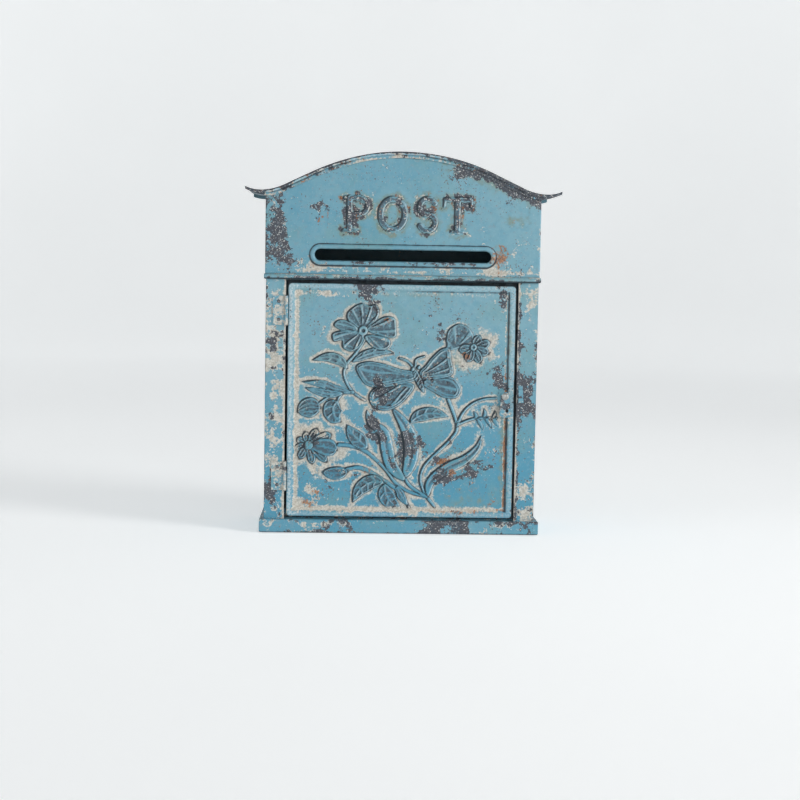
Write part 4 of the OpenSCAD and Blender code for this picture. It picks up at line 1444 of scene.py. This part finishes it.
def make_header_return():
    """The header's lower edge, folded back over the door and down to stop it."""
    half = OPENING_X - 1
    back = STOP_Y + SHEET
    path = rounded([(FACE_Y, HEADER_EDGE_Z), (back, HEADER_EDGE_Z), (back, HEADER_LOW[2])], 1.0, 4)
    points, quads, edge = drawn_out(stepped(path, 1.5), -half, half, 80, 0)
    values = side_wear(points, edge)
    # Painted shade: the whole fold lies in the dark gap over the door, so it is painted near black
    values["line"] = np.full(len(points), 0.85)
    sheet_piece("header_return", points, quads, INNER_PAINT, values)


def make_ledge():
    """The half-round ledge between header and door, turned in at its ends."""
    low, high = LEDGE_LOW[2], LEDGE_HIGH[2]
    radius = (high - low) / 2
    middle_z = (high + low) / 2
    rounding = 1.8
    end = np.array([0, 0.25, 0.8, rounding])
    xs = np.concatenate([
        LEDGE_LOW[0] + end, np.linspace(LEDGE_LOW[0] + 4, LEDGE_HIGH[0] - 4, 130),
        LEDGE_HIGH[0] - end[::-1]])
    angles = np.radians(np.linspace(90, 270, 15))
    sections = []
    for x in xs:
        near = min(x - LEDGE_LOW[0], LEDGE_HIGH[0] - x)
        size = 0.62 + 0.38 * math.sqrt(1 - (1 - min(near / rounding, 1)) ** 2)
        bar_z = middle_z + 0.12 * math.sin(x / 23) - 0.12
        loop = [
            (x, HEADER_Y + radius * size * math.cos(a), bar_z + (radius - 0.15) * size * math.sin(a))
            for a in angles]
        loop += [(x, HEADER_Y + 0.4, middle_z + radius * size * up) for up in (-0.9, 0.9)]
        sections.append(loop)
    points, faces = loft(sections)
    x, _, z = points.T
    values = front_wear(x, z)
    values["cream"] = 0.55 * bell(z - high, 1.2) + 0.15
    values["bare"] = 0.15 + 0.45 * ramp(z, middle_z + 1.0, middle_z - 0.5)
    values["grime"] = np.full_like(x, 0.35)
    # Painted shade under the ledge and along its top edge, where it meets the header
    under = ramp(z, low + 2.4, low + 0.8)
    values["line"] = 1.1 * np.maximum(under, 0.8 * ramp(z, high - 0.9, high - 0.2))
    piece("ledge_bar", points, faces, "case", CASE_PAINT, values, ["drip_ledge"])


# ---------------------------------------------------------------- small parts kept from the frame

def finish_node(name, material, round_mm):
    """Keeps a CAD node: joins its split corners, rounds its edges and paints it."""
    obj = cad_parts[name]
    weld = obj.modifiers.new("weld", "WELD")
    weld.merge_threshold = 0.01 * MM
    bevel = obj.modifiers.new("bevel", "BEVEL")
    bevel.width = round_mm * MM
    bevel.segments = 2
    bevel.limit_method = "ANGLE"
    bevel.angle_limit = math.radians(35)
    obj.data.materials.clear()
    obj.data.materials.append(material)


SMALL_PARTS = {
    "upper_hinge_frame_leaf": (HINGE_PAINT, 0.2), "lower_hinge_frame_leaf": (HINGE_PAINT, 0.2),
    "upper_hinge_door_leaf": (HINGE_PAINT, 0.15), "lower_hinge_door_leaf": (HINGE_PAINT, 0.15),
    "upper_hinge_pin": (STEEL, 0.15), "lower_hinge_pin": (STEEL, 0.15),
    "upper_frame_rivets": (STEEL, 0.25), "lower_frame_rivets": (STEEL, 0.25),
    "upper_door_rivets": (STEEL, 0.15), "lower_door_rivets": (STEEL, 0.15),
    "latch_keeper": (LATCH_PAINT, 0.2), "latch_rivet": (BRIGHT_STEEL, 0.6), "latch_spacer": (STEEL, 0.1),
    "latch_washer": (STEEL, 0.1), "latch_tab": (LATCH_PAINT, 0.3)}


# ---------------------------------------------------------------- stage, light and camera

# Metres, watts and degrees from here on
PAPER_GLOW = 0.42
PAPER_RADIUS = 5.2
PAPER_HEIGHT = 3.6
PAPER_BEND = 2.0
PAPER_Z = -0.0005
AIM = (0, 0, 0.19)
# Name, place, size, power and spread
LIGHTS = [
    ("key", (2.50, -1.40, 1.20), (1.0, 1.0), 9.0, 75),
    ("fill", (-2.6, -1.6, 1.01), (1.4, 2.4), 3.0, 90),
    ("front", (0.6, -3.8, 2.81), (2.8, 2.0), 2.8, 100)]
CAMERA_PLACE = (-0.052, -1.595, 0.255)
CAMERA_LENS = 69.5
CAMERA_TURN = -1.9
CAMERA_DOWN = 4.44
CAMERA_ROLL = 0.95


def paper():
    """Matt white paper with a faint grain and a faint glow."""
    n = Nodes("studio_paper")
    grain = n.ramp(n.noise(900, 2, 0.5), 0.3, 0.7)
    n.link(n.mix(grain, (0.80, 0.80, 0.79), (0.84, 0.84, 0.83)), n.shader.inputs["Base Color"])
    n.shader.inputs["Roughness"].default_value = 0.9
    n.shader.inputs["Emission Color"].default_value = (0.95, 0.98, 1.0, 1)
    n.shader.inputs["Emission Strength"].default_value = PAPER_GLOW
    return n.material


def make_stage():
    """A round pale floor that curves up into a pale, faintly glowing wall."""
    profile = rounded(
        [(0.3, PAPER_Z), (PAPER_RADIUS, PAPER_Z), (PAPER_RADIUS, PAPER_HEIGHT)], PAPER_BEND, 16)
    turns = np.radians(np.arange(0, 360, 5))
    points = [(r * math.cos(a), r * math.sin(a), z) for r, z in profile for a in turns]
    quads = closed_quads(len(profile), len(turns))[:, [0, 3, 2, 1]]
    mesh = bpy.data.meshes.new("studio_floor")
    mesh.from_pydata(points, [], [tuple(range(len(turns)))] + [tuple(int(k) for k in q) for q in quads])
    mesh.shade_smooth()
    mesh.materials.append(paper())
    obj = bpy.data.objects.new("studio_floor", mesh)
    bpy.context.scene.collection.objects.link(obj)


def area_light(name, place, size, power, spread):
    """A rectangular light aimed at the box, which the camera doesn't see."""
    data = bpy.data.lights.new(name, "AREA")
    data.shape = "RECTANGLE"
    data.size, data.size_y = size
    data.energy = power
    data.spread = math.radians(spread)
    obj = bpy.data.objects.new(name, data)
    obj.location = place
    obj.rotation_euler = (Vector(AIM) - Vector(place)).to_track_quat("-Z", "Y").to_euler()
    obj.visible_camera = False
    bpy.context.scene.collection.objects.link(obj)


def make_camera():
    """The camera: level with the box's upper half, looking slightly down and rolled."""
    data = bpy.data.cameras.new("camera")
    data.sensor_width = 36
    data.lens = CAMERA_LENS
    obj = bpy.data.objects.new("camera", data)
    turn = Matrix.Rotation(math.radians(CAMERA_TURN), 4, "Z")
    turn = turn @ Matrix.Rotation(math.radians(90 - CAMERA_DOWN), 4, "X")
    turn = turn @ Matrix.Rotation(math.radians(CAMERA_ROLL), 4, "Z")
    obj.matrix_world = Matrix.Translation(CAMERA_PLACE) @ turn
    bpy.context.scene.collection.objects.link(obj)
    bpy.context.scene.camera = obj


def make_light():
    """Faint even light from all round, and the three lights."""
    world = bpy.data.worlds.new("studio")
    world.use_nodes = True
    background = world.node_tree.nodes["Background"]
    background.inputs["Color"].default_value = (0.93, 0.96, 1.0, 1)
    background.inputs["Strength"].default_value = 0.10
    bpy.context.scene.world = world
    for light in LIGHTS:
        area_light(*light)
    bpy.context.scene.view_settings.view_transform = "Standard"


make_door()
make_header()
make_header_return()
make_roof()
for side in (-1, 1):
    make_stile(side)
    make_side(side)
make_back()
make_plinth()
make_floor()
make_sill()
make_ledge()
for name, (material, round_mm) in SMALL_PARTS.items():
    finish_node(name, material, round_mm)
make_stage()
make_light()
make_camera()
